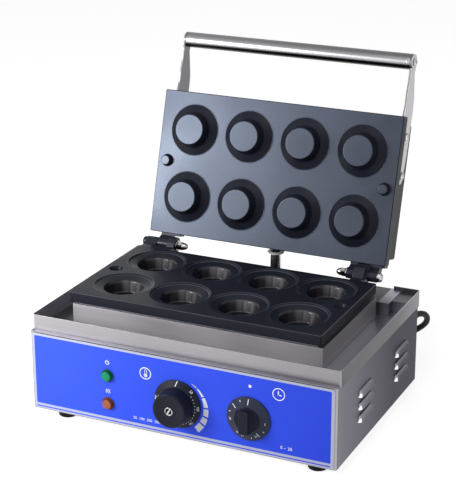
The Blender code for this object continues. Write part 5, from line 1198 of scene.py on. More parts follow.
def press_louvre(shape, side, middle, level):
    """A scoop with a wall, a painted highlight at its front end and painted shade inside, over a
    dark patch of painted shadow in its mouth.
    """
    outside, inside = (louvre_grid(side, middle, level, inset) for inset in (0, LOUVRE_WALL))
    first = len(shape.slots)

    def back(p):
        return Vector((side * (SIDE_FACE - BEHIND) * MM, p.y, BASE_Z + (level - BEHIND) * MM))
    shape.loft(outside, 0, closed=False, ends=OPEN_ENDS, middle=back)
    # Painted highlight on the first faces of the front rows.
    for row, bright in enumerate(PAINTED_HIGHLIGHT_FACES):
        start = first + LOUVRE_ROWS * row
        shape.slots[start:start + bright] = [2] * bright
    # The inside takes the painted shade of the recess finish.
    shape.loft(inside, 1, closed=False, ends=OPEN_ENDS, middle=back, inward=True)
    rims = [[a[0], b[0]] for a, b in zip(outside, inside)]
    shape.loft(rims, 0, closed=False, ends=OPEN_ENDS, middle=lambda p: p + Z)
    # A dark patch on the panel under the scoop, painted shadow.
    mouth = [[place(side * (SIDE_FACE + 0.05), middle + y, level + z)
              for z in (0, MOUTH_SHADE_HEIGHT)] for y in (-MOUTH_SHADE_HALF, MOUTH_SHADE_HALF)]
    shape.loft(mouth, 1, closed=False, ends=OPEN_ENDS, middle=lambda p: p - X * side)


def build_side_panel(name, side):
    """A folded side with six pressed louvres."""
    inner, outer = sorted((side * (SIDE_FACE - SHEET), side * SIDE_FACE))
    shape = Shape().block((SIDE_FRONT, CASE_DEPTH), (0, SIDE_TOP), inner, outer, 0.4, 0)
    for middle in LOUVRE_MIDDLES:
        for level in LOUVRE_LEVELS:
            press_louvre(shape, side, middle, level)
    return make(name, shape, ["side", "socket", "louvre_end"])


class TARTLET_OT_case(bpy.types.Operator):
    """Dress the folded sheets of the case and press the louvres"""

    bl_idname = "tartlet.case"
    bl_label = "Case"

    def execute(self, context):
        for side, name in SIDES:
            panel = build_side_panel(f"louvred_side_{name}", side)
            settle(panel, "root", "stainless_steel", f"side_panel_{name}")
        dress("steel", 0.4, "front_panel", "back_panel", "bottom_plate")
        dress("tray", 0.4, "drip_tray")
        dress("box", 0.4, "heater_box")
        dress("deck", 0.4, "rear_deck", "inner_frame")
        dress("rubber", 0.6, "foot_front_left", "foot_front_right", "foot_rear_left",
              "foot_rear_right")
        return {"FINISHED"}


# Front film

DIAL_X, DIAL_Z = 0, 44.5
TIMER_X, TIMER_Z = 91.4, 44.3
LAMP_X, POWER_Z, HEAT_Z = -93.5, 63, 26.4
SHAFT_HOLE, LAMP_HOLE = 5, 6.3
FIELD_LOW, FIELD_HIGH = (-194, 8), (193, 97.5)
# A dark strip along the panel's top edge, painted shadow.
SEAM_SHADOW_LOW, SEAM_SHADOW_HIGH = (-195, 100.3), (195, 101.3)
STRIPE_LOW, STRIPE_HIGH = (-194, 3.4), (193, 4.8)
# Start and end in degrees, then the inner and the outer radius at each
HEAT_BLOCKS = (
    (32, 44, (34.3, 34.3), (34.6, 35.7)), (47, 65.5, (34.3, 34.3), (36.0, 37.6)),
    (68, 87, (34.0, 34.0), (38.0, 39.6)), (90, 104.5, (33.7, 33.8), (40.0, 40.4)),
    (108, 121, (33.7, 33.5), (40.8, 41.1)), (124.5, 140, (33.5, 33.6), (41.4, 41.8)),
)


def build_field():
    """The blue field, cut out round shafts and lamps."""
    circles = [(DIAL_X, DIAL_Z, SHAFT_HOLE, 32), (TIMER_X, TIMER_Z, SHAFT_HOLE, 32),
               (LAMP_X, POWER_Z, LAMP_HOLE, 32), (LAMP_X, HEAT_Z, LAMP_HOLE, 32)]
    shape = Shape().holed(rounded_rectangle(FIELD_LOW, FIELD_HIGH, 1.2), circles,
                          lambda x, z: place(x, FILM_LEVEL, z), -Y)
    return make("film_field", shape, ["field"], weighted=False)


def film_art():
    """Icons, index dot and plain numbers printed white."""
    art = Art()
    x, z = -42.3, 75.3
    art.arc(x, z, 6.6, 7.7, 0, 360, 40)
    art.arc(x + 0.4, z - 2.6, 1.2, 2.2, 0, 360, 20).disc(x + 0.4, z - 2.6, 0.8)
    for aside in (-0.9, 1.7):
        art.line((x + aside, z - 1.2), (x + aside, z + 3.6), 0.6)
    art.arc(x + 0.4, z + 3.6, 1.0, 1.6, -90, 90, 10)
    x, z = 128.7, 81.8
    art.arc(x, z, 6.7, 7.8, 0, 360, 40)
    art.line((x - 0.4, z + 4.2), (x - 0.4, z - 1.6), 1.4)
    art.line((x - 1.0, z - 1.0), (x + 3.6, z - 1.0), 1.3)
    art.disc(93, 85, 1.9)
    art.arc(LAMP_X, 79.7, 2.0, 2.8, 35, 325, 20)
    art.line((LAMP_X, 79.8), (LAMP_X, 83.0), 0.9)
    for shift in (-2.2, 0.0, 2.2):
        route = [(LAMP_X + shift + 0.6 * math.sin(k * 1.25), 39.8 + k * 0.76) for k in range(8)]
        for a, b in zip(route, route[1:]):
            art.line(a, b, 0.8)
    art.digits("50  100  200  300", 5.0, -42, 14.7)
    return art.digits("0 – 30", 5.8, 138.5, 15.6)


def heat_blocks():
    """Six blocks beside the temperature dial that grow with the setting."""
    art = Art()
    for start, end, inner, outer in HEAT_BLOCKS:
        art.arc(DIAL_X, DIAL_Z, inner, outer, start, end, 6)
    return art


class TARTLET_OT_film(bpy.types.Operator):
    """Print the front film: border, blue field, stripes, icons and numbers, with a dark strip of
    painted shadow along the panel's top
    """

    bl_idname = "tartlet.film"
    bl_label = "Front film"

    def execute(self, context):
        dress("border", 0, "front_film")
        settle(build_field(), "root", "blue_film")
        # Painted shadow line along the panel's top.
        seam_shadow = Art().box(SEAM_SHADOW_LOW, SEAM_SHADOW_HIGH)
        stripe = Art().box(STRIPE_LOW, STRIPE_HIGH)
        for art, name, finish, level, slot in (
                (seam_shadow, "panel_seam", "socket", 0, "stainless_steel"),
                (stripe, "film_stripe", "field", FILM_LEVEL, "blue_film"),
                (film_art(), "film_marks", "ink", FILM_LEVEL, "blue_film"),
                (heat_blocks(), "film_heat_blocks", "grey_ink", FILM_LEVEL, "blue_film")):
            settle(art.piece(name, finish, lambda x, z: level), "root", slot)
        return {"FINISHED"}


# Signal lamps

def build_signal_lamp(name, z, finish):
    """A bezel and a shallow domed lens of one colour."""
    bezel = filleted([(6, -21, 0, 1), (6, TOUCH_GAP, 0, 1), (8, TOUCH_GAP, 0, 1),
                      (8, 1.8, 0.7, 1), (6.7, 1.8, 0.3, 1), (6.6, 1, 0, 1)])
    lens = filleted([(6.6, 1, 0, 1), (6.6, 4.2, 0.9, 1), (5.6, 5, 0.6), (3, 5.3, 1), (0, 5.3)])
    shape = Shape()
    for profile in (bezel, lens):
        shape.turned(profile, place(LAMP_X, PANEL_FACE, z), "-Y", 48)
    return make(name, shape, [finish, f"{finish}_rim"])


class TARTLET_OT_lamps(bpy.types.Operator):
    """Fit the green power lamp and the amber heat lamp"""

    bl_idname = "tartlet.lamps"
    bl_label = "Signal lamps"

    def execute(self, context):
        for name, z, finish, slot in (("power_lamp", POWER_Z, "green", "green_lens"),
                                      ("heat_lamp", HEAT_Z, "amber", "orange_lens")):
            settle(build_signal_lamp(name, z, finish), "root", slot, f"{name}_bezel",
                   f"{name}_lens")
        return {"FINISHED"}


# Knobs

KNOB_BACK = -1.3
DIAL_LENGTH, SKIRT_RIM, SKIRT_HEIGHT, GRIP_FLARE, CAP_RADIUS = 23.7, 1.2, 5, 1.4, 5.2
CAP_TURN = 28
TIMER_BOSS = 16
# Numbers and ticks with their turn in degrees; ticks also have their radii and their width, and
# numbers of the timer the turn of the writing
TEMPERATURES = (("50", 44), ("100", 90), ("150", 137), ("200", 184), ("250", 231), ("300", 278))
DOTS, DOT_START, DOT_PITCH = 26, 54, 9.4
MINUTES = (("25", -98, 90), ("5", 94, 90), ("10", 150, 0), ("15", 196, 0), ("20", -146, 0))
TIMER_TICKS = ((2, 18.8, 25.2, 0.9), (-50, 19, 25.2, 0.8), (-24, 22.6, 24.4, 0.9),
               (-74, 22.6, 24.4, 0.9), (122, 22.6, 24.4, 0.9), (168, 22.6, 24.4, 0.9),
               (142, 19, 24.6, 0.8))
# Width, radius and depth of the timer's bar grip, from its foot to its end
BAR_RINGS = ((22, 15.2, 5), (19.6, 15.1, 7), (13.8, 14.9, 11.8), (12.2, 14.8, 14.8),
             (11.6, 14.6, 15.5), (10.6, 14.1, 16))


def skirt_surface(x, z, skirt, inner):
    """Depth of a knob's conical skirt at a point."""
    def depth(px, pz):
        reach = min(max(math.hypot(px - x, pz - z), inner), skirt)
        part = (skirt - reach) / (skirt - inner)
        return KNOB_BACK - SKIRT_RIM - (SKIRT_HEIGHT - SKIRT_RIM) * part - PRINT_LIFT
    return depth


def build_dial_knob():
    """Skirt, round grip and dished face."""
    skirt, grip = sizes().skirt, sizes().grip
    end, face, seat = DIAL_LENGTH, DIAL_LENGTH - 0.8, CAP_RADIUS + 0.3
    corners = [(3, 0), (skirt, 0, 0.3), (skirt, SKIRT_RIM, 0.5),
               (grip + GRIP_FLARE, SKIRT_HEIGHT, 0.6),
               (grip + GRIP_FLARE - 0.2, SKIRT_HEIGHT + 1.2, 0.6), (grip, end - 1.8, 0.8),
               (grip - 0.7, end - 0.4, 0.8, 1), (grip - 3, end, 2, 1),
               (grip * 0.5, face - 0.3, 4, 1), (CAP_RADIUS + 1.2, face, 0.8, 1),
               (seat, face - 0.3, 0.2, 1), (seat, face - 1.8, 0, 1), (0, face - 1.8, 0, 1)]
    shape = Shape().turned(filleted(corners), place(DIAL_X, KNOB_BACK, DIAL_Z), "-Y")
    return make("dial_knob", shape, ["plastic", "face"], sharp=40)


def build_dial_cap():
    """A bright ring with a screwdriver bar across its dark middle."""
    high, radius = DIAL_LENGTH, CAP_RADIUS
    ring = filleted([(radius - 0.1, high - 2.3), (radius, high - 0.4, 0.3),
                     (radius - 0.4, high, 0.3), (radius - 1, high, 0.3),
                     (radius - 1.2, high - 0.7, 0.2, 1), (0, high - 0.8, 0, 1)])
    centre = place(DIAL_X, KNOB_BACK, DIAL_Z)
    shape = Shape().turned(ring, centre, "-Y", 64)
    turn = Matrix.Rotation(math.radians(CAP_TURN), 3, "Y")
    bar = [[centre + turn @ Vector((x, -depth, z)) * MM
            for x, z in ((-width, -reach), (width, -reach), (width, reach), (-width, reach))]
           for depth, width, reach in ((high - 0.8, 1, 4.1), (high - 0.2, 0.9, 4),
                                       (high, 0.7, 3.8))]
    shape.loft(bar, 0, ends=(False, True))
    # The middle takes the painted shade of the recess finish.
    return make("dial_cap", shape, ["polished", "socket"])


def dial_art():
    """Index, numbers and dots on the temperature skirt."""
    art = Art()
    art.line((DIAL_X + 1.0, DIAL_Z + 30.2), (DIAL_X - 0.2, DIAL_Z + 25.6), 0.9)
    art.disc(DIAL_X - 0.5, DIAL_Z + 25.0, 0.75, 12)
    for dot in range(DOTS):
        art.disc(*polar(DIAL_X, DIAL_Z, 24.7, DOT_START + dot * DOT_PITCH), 0.5, 10)
    for body, angle in TEMPERATURES:
        art.digits(body, 4, *polar(DIAL_X, DIAL_Z, 27.7, angle), angle)
    return art


def bar_ring(width, radius, depth, centre):
    """A bar with round ends, as points at one depth."""
    corner = math.acos(width / 2 / radius)
    angles = [start + (math.pi - 2 * corner) * step / 10
              for start in (corner, corner + math.pi) for step in range(11)]
    return [centre + Vector((radius * math.cos(angle), -depth, radius * math.sin(angle))) * MM
            for angle in angles]


def build_timer_knob():
    """Skirt, low boss and a bar grip that narrows to the front."""
    skirt = sizes().timer_skirt
    centre = place(TIMER_X, KNOB_BACK, TIMER_Z)
    corners = [(3.3, 0), (skirt, 0, 0.3), (skirt, SKIRT_RIM, 0.5),
               (TIMER_BOSS, SKIRT_HEIGHT, 0.6, 2), (15.5, 7, 0.6, 2), (0, 7, 0, 2)]
    shape = Shape().turned(filleted(corners), centre, "-Y")
    shape.loft([bar_ring(*ring, centre) for ring in BAR_RINGS], [2, 2, 2, 1, 1, 1],
               ends=(False, True))
    # Slot 0, the skirt, takes the painted light of the skirt finish.
    return make("timer_bar_knob", shape, ["skirt", "face", "plastic"], sharp=40)


def timer_art():
    """Lines, ticks and numbers on the timer's skirt."""
    art = Art()
    for tick in TIMER_TICKS:
        art.tick(TIMER_X, TIMER_Z, *tick)
    for body, angle, turn in MINUTES:
        art.digits(body, 3.8, *polar(TIMER_X, TIMER_Z, 22.2, angle), angle + turn)
    return art


class TARTLET_OT_temperature_knob(bpy.types.Operator):
    """Make the temperature knob with its cap and marks"""

    bl_idname = "tartlet.temperature_knob"
    bl_label = "Temperature knob"

    def execute(self, context):
        body = "temperature_knob"
        settle(build_dial_knob(), body, "black_plastic", "temperature_knob")
        settle(build_dial_cap(), body, "polished_steel", "temperature_knob_cap")
        surface = skirt_surface(DIAL_X, DIAL_Z, sizes().skirt, sizes().grip + GRIP_FLARE)
        settle(dial_art().piece("dial_marks", "ink", surface), body, "black_plastic")
        dress("polished", 0, "thermostat_shaft")
        return {"FINISHED"}


class TARTLET_OT_timer_knob(bpy.types.Operator):
    """Make the timer knob with its bar grip and marks"""

    bl_idname = "tartlet.timer_knob"
    bl_label = "Timer knob"

    def execute(self, context):
        settle(build_timer_knob(), "timer_knob", "black_plastic", "timer_knob")
        surface = skirt_surface(TIMER_X, TIMER_Z, sizes().timer_skirt, TIMER_BOSS)
        settle(timer_art().piece("timer_marks", "ink", surface), "timer_knob", "black_plastic")
        dress("polished", 0, "timer_shaft")
        return {"FINISHED"}


# Plates and their hinge lugs

CUP_PITCH_X, CUP_PITCH_Y, CUP_FRONT_ROW = 77.45, 87.75, 85.47
PLATE_LOW, PLATE_HIGH = (-164.9, 35.2), (164.9, 216)
PLATE_BOTTOM, PLATE_TOP = 133.1, 145.87
LID_LOW, LID_HIGH = (-164.5, 36.85), (164.5, 224)
LID_FACE, LID_TOP = 149.54, 164.34
PLATE_CORNER = 2
PIN_X, PIN_Y = 150.8, 128.9
KNUCKLE = 7
LOWER_LUGS = ((-163.4, -147.5), (-131, -120), (129.6, 144))
LOWER_LUG_RADII = (KNUCKLE, 10.5, 13.2)
LOWER_TABS = ((-162.7, -120.7), (130.3, 143.3))
LOWER_LUG_YS, LOWER_TAB_YS = (214.5, 229), (214, 227)
LID_LUG_YS, LID_LUG_ZS = (221, 227), (LID_FACE + 0.3, 160)
LID_LUGS = ((-147.2, -131.3), (145.5, 158.6), (118.9, 129.3))
LID_TABS = ((-147.2, -120), (118.9, 129.3), (144.3, 164))
LID_TAB_YS, LID_WEB_YS, WEB_FACE = (223, 226.6), (222.5, 229), 158.2


def cup_places():
    return [((column - 1.5) * CUP_PITCH_X, CUP_FRONT_ROW + row * CUP_PITCH_Y)
            for row in range(2) for column in range(4)]


def lug_outline(front, back, low, high, radius=KNUCKLE):
    """A block that runs back into the round knuckle, as (y, z) pairs."""
    back = min(back, HINGE_Y - radius - 1.2)

    def touch(point, outward):
        dy, dz = point[0] - HINGE_Y, point[1] - HINGE_Z
        return math.atan2(dz, dy) + outward * math.acos(radius / math.hypot(dy, dz))
    start, end = touch((back, low), 1), touch((back, high), -1)
    while end < start:
        end += FULL_TURN
    angles = [start + (end - start) * step / 28 for step in range(29)]
    return [(front, high), (front, low), (back, low),
            *((HINGE_Y + radius * math.cos(angle), HINGE_Z + radius * math.sin(angle))
              for angle in angles), (back, high)]


def cup_profile():
    """Rim, ledge, slope, well and floor of one cup, each in the plate's own slots."""
    size = sizes()
    # Rows in slot 3 take the painted highlight lines; slot 4 the well's painted streaks.
    return filleted([
        (size.cup_rim + 0.6, 0, 0, 3), (size.cup_rim - 0.1, -0.2, 0.3, 1),
        (size.cup_ledge + 0.4, -1.4, 0.5, 3), (size.cup_ledge - 0.3, -1.9, 0.3, 1),
        (size.cup_well + 1, -4.4, 1.2, 4), (size.cup_well - 0.4, -6.2, 1, 4),
        (size.cup_floor, -size.cup_depth, 2.2, 1), (0, -size.cup_depth, 0, 1)])


class TARTLET_OT_lower_plate(bpy.types.Operator):
    """Make the lower plate with eight cups, two locating holes and its lugs"""

    bl_idname = "tartlet.lower_plate"
    bl_label = "Lower plate"

    def execute(self, context):
        edge, steps = sizes().plate_edge, round_steps()
        shape = Shape().slab(PLATE_LOW, PLATE_HIGH, PLATE_BOTTOM, PLATE_TOP, PLATE_CORNER, edge,
                             shell=True, line=3)
        profile = cup_profile()
        hole = filleted([(9.1, 0), (8.6, -0.2, 0.3), (6.8, -4.5, 0.6, 1), (0, -4.5, 0, 1)])
        outline = rounded_rectangle((PLATE_LOW[0] + edge, PLATE_LOW[1] + edge),
                                    (PLATE_HIGH[0] - edge, PLATE_HIGH[1] - edge),
                                    PLATE_CORNER - edge)
        openings = [(x, y, profile[0][0], steps) for x, y in cup_places()]
        openings += [(x, PIN_Y, hole[0][0], 48) for x in (-PIN_X, PIN_X)]
        shape.holed(outline, openings, lambda x, y: place(x, y, PLATE_TOP), Z)
        shape.holed(outline, [(x, y, sizes().cup_well, steps) for x, y in cup_places()],
                    lambda x, y: place(x, y, PLATE_BOTTOM), -Z)
        for x, y in cup_places():
            shape.turned(profile, place(x, y, PLATE_TOP), "Z", inward=True)
        for x in (-PIN_X, PIN_X):
            shape.turned(hole, place(x, PIN_Y, PLATE_TOP), "Z", 48, inward=True)
        for (low, high), radius in zip(LOWER_LUGS, LOWER_LUG_RADII):
            shape.prism(lug_outline(*LOWER_LUG_YS, PLATE_BOTTOM, PLATE_TOP, radius), low, high,
                        0.8, 2)
        for low, high in LOWER_TABS:
            shape.block(LOWER_TAB_YS, (PLATE_BOTTOM + 0.7, PLATE_TOP - 0.7), low, high, 0.5, 2)
        plate = make("cup_plate", shape, ["coating", "cup", "lug", "rim", "well"])
        settle(plate, "root", "coated_aluminium", "lower_plate")
        return {"FINISHED"}


class TARTLET_OT_lid_plate(bpy.types.Operator):
    """Make the lid plate with eight bosses, two locating pins and its lugs"""

    bl_idname = "tartlet.lid_plate"
    bl_label = "Lid plate"

    def execute(self, context):
        size = sizes()
        shape = Shape().slab(LID_LOW, LID_HIGH, LID_FACE, LID_TOP, PLATE_CORNER, size.plate_edge,
                             (1, 1, 0))
        boss = filleted([
            (size.boss_base + 1, -0.1), (size.boss_base + 0.6, 0.4, 0.2),
            (size.boss_base, 0.4, 0.2, 1), (size.boss_base - 0.5, 0.1, 0.2, 1),
            (size.boss_step + 1, 4.5, 2.2, 1), (size.boss_step - 0.2, 5.8, 1.2, 1),
            (size.boss_face + 0.2, size.boss_height - 0.4, 1, 1),
            (size.boss_face - 0.8, size.boss_height, 0.5), (0, size.boss_height)])
        pin = filleted([(8.4, -0.1, 0, 1), (8, 0.4, 0.4, 1), (6.3, 6.6, 0.8, 1), (5.6, 7.1, 0.4),
                        (0, 7.1)])
        for x, y in cup_places():
            shape.turned(boss, place(x, y, LID_FACE), "-Z")
        for x in (-PIN_X, PIN_X):
            shape.turned(pin, place(x, PIN_Y, LID_FACE), "-Z", 48)
        for low, high in LID_LUGS:
            shape.prism(lug_outline(*LID_LUG_YS, *LID_LUG_ZS), low, high, 0.8, 2)
        for low, high in LID_TABS:
            shape.block(LID_TAB_YS, (LID_FACE + 0.4, LID_TOP - 1), low, high, 0.4, 2)
        shape.block(LID_WEB_YS, (WEB_FACE, LID_TOP - 1), LID_TABS[1][1] + 0.2,
                    LID_TABS[2][0] - 0.2, 0.4, 2)
        plate = make("boss_plate", shape, ["lid_face", "slope", "lug"], closed_lid=True)
        settle(plate, "lid", "coated_aluminium", "lid_plate")
        return {"FINISHED"}


# Lid cover, straps, handle and screws

TUBE_Y, TUBE_Z = -31.9, 181
STRAP_INNER, STRAP_OUTER = 155.6, 158.6
# The strap's side view without its end, as shares of its depth and its height
STRAP_SHARES = (
    (0.051, 0.140), (0.182, 0.137), (0.285, 0.083), (0.376, 0.083), (0.441, 0.0),
    (0.935, 0.0), (0.975, 0.080), (1.0, 0.340), (1.0, 0.620), (0.965, 0.780),
    (0.883, 0.829), (0.798, 0.890), (0.695, 0.930), (0.600, 0.940), (0.506, 0.960),
    (0.399, 1.0), (0.302, 0.955), (0.181, 0.765), (0.090, 0.610),
)
STRAP_LOW, STRAP_HIGH, STRAP_BACK = 167.3, 200, 122
STRAP_SCREWS, STRAP_SCREW_Z = (61.7, 110.9), 186.4


def strap_outline():
    """The strap's side view with a round end about the tube."""
    depth, height = STRAP_BACK - TUBE_Y, STRAP_HIGH - STRAP_LOW
    radius = sizes().tube_radius
    angles = [math.radians(70 + 265 * step / 20) for step in range(21)]
    return [*((TUBE_Y + along * depth, STRAP_LOW + up * height) for along, up in STRAP_SHARES),
            *((TUBE_Y + radius * math.cos(angle), TUBE_Z + radius * math.sin(angle))
              for angle in angles)]


def smoothed(outline, steps=3):
    """The outline with its corners eased."""
    points = []
    for index in range(len(outline)):
        a, b, c = (Vector(outline[(index + k) % len(outline)]) for k in (-1, 0, 1))
        start, end = b + (a - b) * 0.22, b + (c - b) * 0.22
        for step in range(steps + 1):
            t = step / steps
            points.append(tuple(start * (1 - t) ** 2 + b * 2 * t * (1 - t) + end * t * t))
    return points


def build_tube():
    """A brushed tube with turned end caps."""
    radius, half = sizes().tube_radius, STRAP_INNER - TOUCH_GAP
    profile = []
    for side in (-1, 1):
        end = [(2.8, side * half), (radius - 0.1, side * half, 0.6),
               (radius, side * (half - 4.5), 0.4), (radius - 0.3, side * (half - 5), 0.2),
               (radius, side * (half - 5.5), 0.3)]
        profile += end[::-side]
    shape = Shape().turned(filleted(profile, 3), place(0, TUBE_Y, TUBE_Z), "X")
    return make("handle_bar", shape, ["tube"], closed_lid=True, sharp=50)


def build_screw(name, side, y, z):
    """A domed screw head with a cross of painted shade for its recess."""
    centre = place(side * STRAP_OUTER, y, z)
    head = filleted([(5, TOUCH_GAP), (5, 1, 0.4), (4, 2.3, 1), (2, 2.8, 1), (0, 2.8)])
    shape = Shape().turned(head, centre, "X" if side > 0 else "-X", 40)
    # Two dark quads on the dome, painted shade for the cross recess.
    for reach_y, reach_z in ((2.6, 0.5), (0.5, 2.6)):
        ring = [(-reach_y, -reach_z), (reach_y, -reach_z), (reach_y, reach_z), (-reach_y, reach_z)]
        first = len(shape.faces)
        shape.add([centre + Vector((side * (2.82 - 0.012 * (py * py + pz * pz)), py, pz)) * MM
                   for py, pz in ring], [(0, 1, 2, 3)], 1)
        shape.face_outward(first, lambda p: p - X * side)
    return make(name, shape, ["polished", "socket"], closed_lid=True)


class TARTLET_OT_handle(bpy.types.Operator):
    """Make the handle tube, its two straps and six screws, and dress the lid's cover"""

    bl_idname = "tartlet.handle"
    bl_label = "Handle and cover"

    def execute(self, context):
        settle(build_tube(), "lid", "polished_steel", "handle_tube")
        for side, name in SIDES:
            low, high = sorted((side * STRAP_INNER, side * STRAP_OUTER))
            # The outer face takes the strap's painted light, the rest its painted shade.
            rows = [0, 0, 1, 1, 1][::-side]
            shape = Shape().prism(smoothed(strap_outline()), low, high, 0.6, rows)
            strap = make(f"strap_{name}", shape, ["strap", "strap_inside"], closed_lid=True)
            settle(strap, "lid", "stainless_steel", f"handle_strap_{name}")
            for node, y, z in ((f"handle_screw_{name}", TUBE_Y, TUBE_Z),
                               (f"strap_front_screw_{name}", STRAP_SCREWS[0], STRAP_SCREW_Z),
                               (f"strap_rear_screw_{name}", STRAP_SCREWS[1], STRAP_SCREW_Z)):
                screw = build_screw(f"domed_{node}", side, y, z)
                settle(screw, "lid", "polished_steel", node)
        dress("cover", 0.4, "lid_cover")
        return {"FINISHED"}


# Hinge

NUT_HALF = 5


def six_sided(angle):
    """Radius of a hexagon at an angle, over its half width."""
    return 1 / math.cos((angle + math.pi / 6) % (math.pi / 3) - math.pi / 6)


def build_bolt(name, start, end, side):
    """Round head, washer and dome nut of one hinge stack, from its outer face inwards."""
    axis = "X" if side < 0 else "-X"
    centre = place(start, HINGE_Y, HINGE_Z)
    head = filleted([(0, -5.8), (4, -5.8, 1), (6, -4.2, 1.4), (6, -TOUCH_GAP, 0.3),
                     (3, -TOUCH_GAP)])
    bolt = make(f"bolt_{name}", Shape().turned(head, centre, axis, 48),
                ["lug" if side < 0 else "polished"])
    low = abs(end - start) + TOUCH_GAP
    ring = filleted([(3.2, low), (7, low, 0.3), (7, low + 1, 0.3), (3.2, low + 1)])
    washer = make(f"washer_{name}", Shape().turned(ring, centre, axis, 40), ["polished"])
    low += 1 + TOUCH_GAP
    nut = [(3, low, 0), (NUT_HALF * 0.93, low, 0), (NUT_HALF, low + 0.5, 0),
           (NUT_HALF, low + 6, 0), (NUT_HALF * 0.93, low + 6.8, 0)]
    angles = [math.pi / 2 * step / 8 for step in range(9)]
    dome = [(NUT_HALF * 0.97, low + 6.2, 0),
            *((NUT_HALF * 0.97 * math.cos(angle), low + 6.8 + 7.1 * math.sin(angle), 0)
              for angle in angles)]
    shape = Shape().turned(nut, centre, axis, 48, squash=six_sided)
    shape.turned(dome, centre, axis, 40)
    return bolt, washer, make(f"dome_nut_{name}", shape, ["polished"], sharp=38)


class TARTLET_OT_hinge(bpy.types.Operator):
    """Make the two hinge bolts with their washers and dome nuts"""

    bl_idname = "tartlet.hinge"
    bl_label = "Hinge bolts"

    def execute(self, context):
        ends = ((LOWER_LUGS[0][0], LOWER_LUGS[1][1]), (LID_LUGS[1][1], LID_LUGS[2][0]))
        for (side, name), (start, end) in zip(SIDES, ends):
            for piece, node in zip(build_bolt(name, start, end, side),
                                   ("hinge_bolt", "hinge_washer", "hinge_nut")):
                settle(piece, "root", "polished_steel", f"{node}_{name}")
        return {"FINISHED"}


# Sleeve, lead and the lid's gland

SLEEVE_X, SLEEVE_Y, DECK_TOP = 7.6, 268, 116.5
SLEEVE_HEIGHT, LEAD_RADIUS, COVER_BACK, LID_GLAND_Z = 27.7, 3.5, 219, 176.5
LEAD_STEPS, LEAD_SIDES = 24, 24


def lead_route():
    """Straight up through the sleeve, then a smooth bend into the lid's gland."""
    low = place(SLEEVE_X, SLEEVE_Y, DECK_TOP + SLEEVE_HEIGHT - 8)
    towards = Vector((0, -math.cos(LID_SWING), math.sin(LID_SWING)))
    end = OPEN_LID @ place(SLEEVE_X, COVER_BACK + TOUCH_GAP, LID_GLAND_Z)
    high = end - towards * 3 * MM
    reach = (high - low).length / 3
    controls = (low, low + Z * reach, high - towards * reach, high)
    points = [place(SLEEVE_X, SLEEVE_Y, DECK_TOP + 2 * TOUCH_GAP)]
    for step in range(LEAD_STEPS + 1):
        t = step / LEAD_STEPS
        weights = ((1 - t) ** 3, 3 * t * (1 - t) ** 2, 3 * t * t * (1 - t), t ** 3)
        points.append(sum((c * w for c, w in zip(controls, weights)), Vector()))
    return points + [end]


def build_lead():
    """A round black lead along its route."""
    route = lead_route()
    turns = [FULL_TURN * i / LEAD_SIDES for i in range(LEAD_SIDES)]
    rings = []
    for index, point in enumerate(route):
        after, before = route[min(index + 1, len(route) - 1)], route[max(index - 1, 0)]
        up = (after - before).normalized().cross(X).normalized()
        rings.append([point + (X * math.cos(turn) + up * math.sin(turn)) * LEAD_RADIUS * MM
                      for turn in turns])
    return make("lid_lead", Shape().loft(rings), ["rubber"])


class TARTLET_OT_conduit(bpy.types.Operator):
    """Make the polished sleeve, the lead and the gland on the lid"""

    bl_idname = "tartlet.conduit"
    bl_label = "Sleeve and lead"

    def execute(self, context):
        top = SLEEVE_HEIGHT
        sleeve = filleted([
            (3.8, 0), (9, 0, 0.3), (9, 2.5, 0.7), (7.8, 2.7, 0.5), (7.6, 4, 0.4),
            (7.6, top, 0.4, 2), (10.8, top + 0.6, 0.3, 2), (11, top + 2.2, 0.5, 2),
            (6.2, top + 2.6, 0.4, 2), (5.9, 6, 0, 1), (3.8, 6, 0, 1)])
        shape = Shape().turned(sleeve, place(SLEEVE_X, SLEEVE_Y, DECK_TOP + TOUCH_GAP), "Z", 64)
        # The bore's floor takes the painted shade of the recess finish.
        settle(make("polished_sleeve", shape, ["sleeve", "socket", "flange"]), "root",
               "polished_steel", "conduit_sleeve")
        gland = filleted([(3.8, 0), (11, 0, 0.3), (11, 2.4, 0.8), (9.8, 3, 0.4), (4.6, 3, 0.4),
                          (4, 2.4, 0, 1)])
        centre = place(SLEEVE_X, COVER_BACK + TOUCH_GAP, LID_GLAND_Z)
        shape = Shape().turned(gland, centre, "Y", 64)
        settle(make("lid_gland", shape, ["polished", "socket"], closed_lid=True), "lid",
               "polished_steel", "conduit_gland")
        lead, route = build_lead(), lead_route()
        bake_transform(lead)
        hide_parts("conduit_lead")
        return {"FINISHED"}


# Parts inside the case and the lid

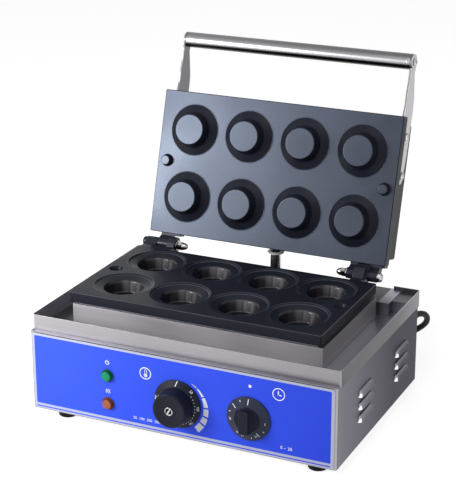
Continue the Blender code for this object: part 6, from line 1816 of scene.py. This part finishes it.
class TARTLET_OT_inner_parts(bpy.types.Operator):
    """Dress the heating elements, pads, controls and terminals inside"""

    bl_idname = "tartlet.inner_parts"
    bl_label = "Inner parts"

    def execute(self, context):
        dress("sheath", 0, "lower_element", "upper_element")
        dress("wool", 2, "lower_insulation", "upper_insulation")
        dress("deck", 0.3, "heat_shield", "upper_clamp_plate")
        dress("ceramic", 0.8, "thermostat_body")
        dress("grey", 0.8, "timer_body")
        dress("polished", 0, "thermostat_bulb")
        dress("ceramic", 0.5, "terminal_block")
        return {"FINISHED"}


class TARTLET_PT_maker(bpy.types.Panel):
    """Lists the sizes, the colours and the pieces"""

    bl_idname = "TARTLET_PT_maker"
    bl_label = "Tartlet maker"
    bl_space_type = "VIEW_3D"
    bl_region_type = "UI"
    bl_category = "Tartlet"

    def draw(self, context):
        layout = self.layout
        for title, group in (("Sizes", context.scene.tartlet_sizes),
                             ("Colours", context.scene.tartlet_colours),
                             ("Stage", context.scene.tartlet_stage)):
            box = layout.box()
            box.label(text=title)
            for name in group.__annotations__:
                box.prop(group, name)
        column = layout.column(align=True)
        for operator in OPERATORS:
            column.operator(operator.bl_idname)


OPERATORS = (
    TARTLET_OT_finishes, TARTLET_OT_stage, TARTLET_OT_cord, TARTLET_OT_case, TARTLET_OT_film,
    TARTLET_OT_lamps, TARTLET_OT_temperature_knob, TARTLET_OT_timer_knob, TARTLET_OT_lower_plate,
    TARTLET_OT_lid_plate, TARTLET_OT_handle, TARTLET_OT_hinge, TARTLET_OT_conduit,
    TARTLET_OT_inner_parts,
)
GROUPS = (
    ("tartlet_sizes", TARTLET_PG_sizes),
    ("tartlet_colours", TARTLET_PG_colours),
    ("tartlet_stage", TARTLET_PG_stage),
)


def register():
    for name, group in GROUPS:
        bpy.utils.register_class(group)
        setattr(bpy.types.Scene, name, bpy.props.PointerProperty(type=group))
    for kind in (*OPERATORS, TARTLET_PT_maker):
        bpy.utils.register_class(kind)


def unregister():
    for kind in (TARTLET_PT_maker, *reversed(OPERATORS)):
        bpy.utils.unregister_class(kind)
    for name, group in reversed(GROUPS):
        delattr(bpy.types.Scene, name)
        bpy.utils.unregister_class(group)


def main():
    register()
    for operator in OPERATORS:
        getattr(bpy.ops.tartlet, operator.bl_idname.split(".")[1])()


if __name__ == "__main__":
    main()
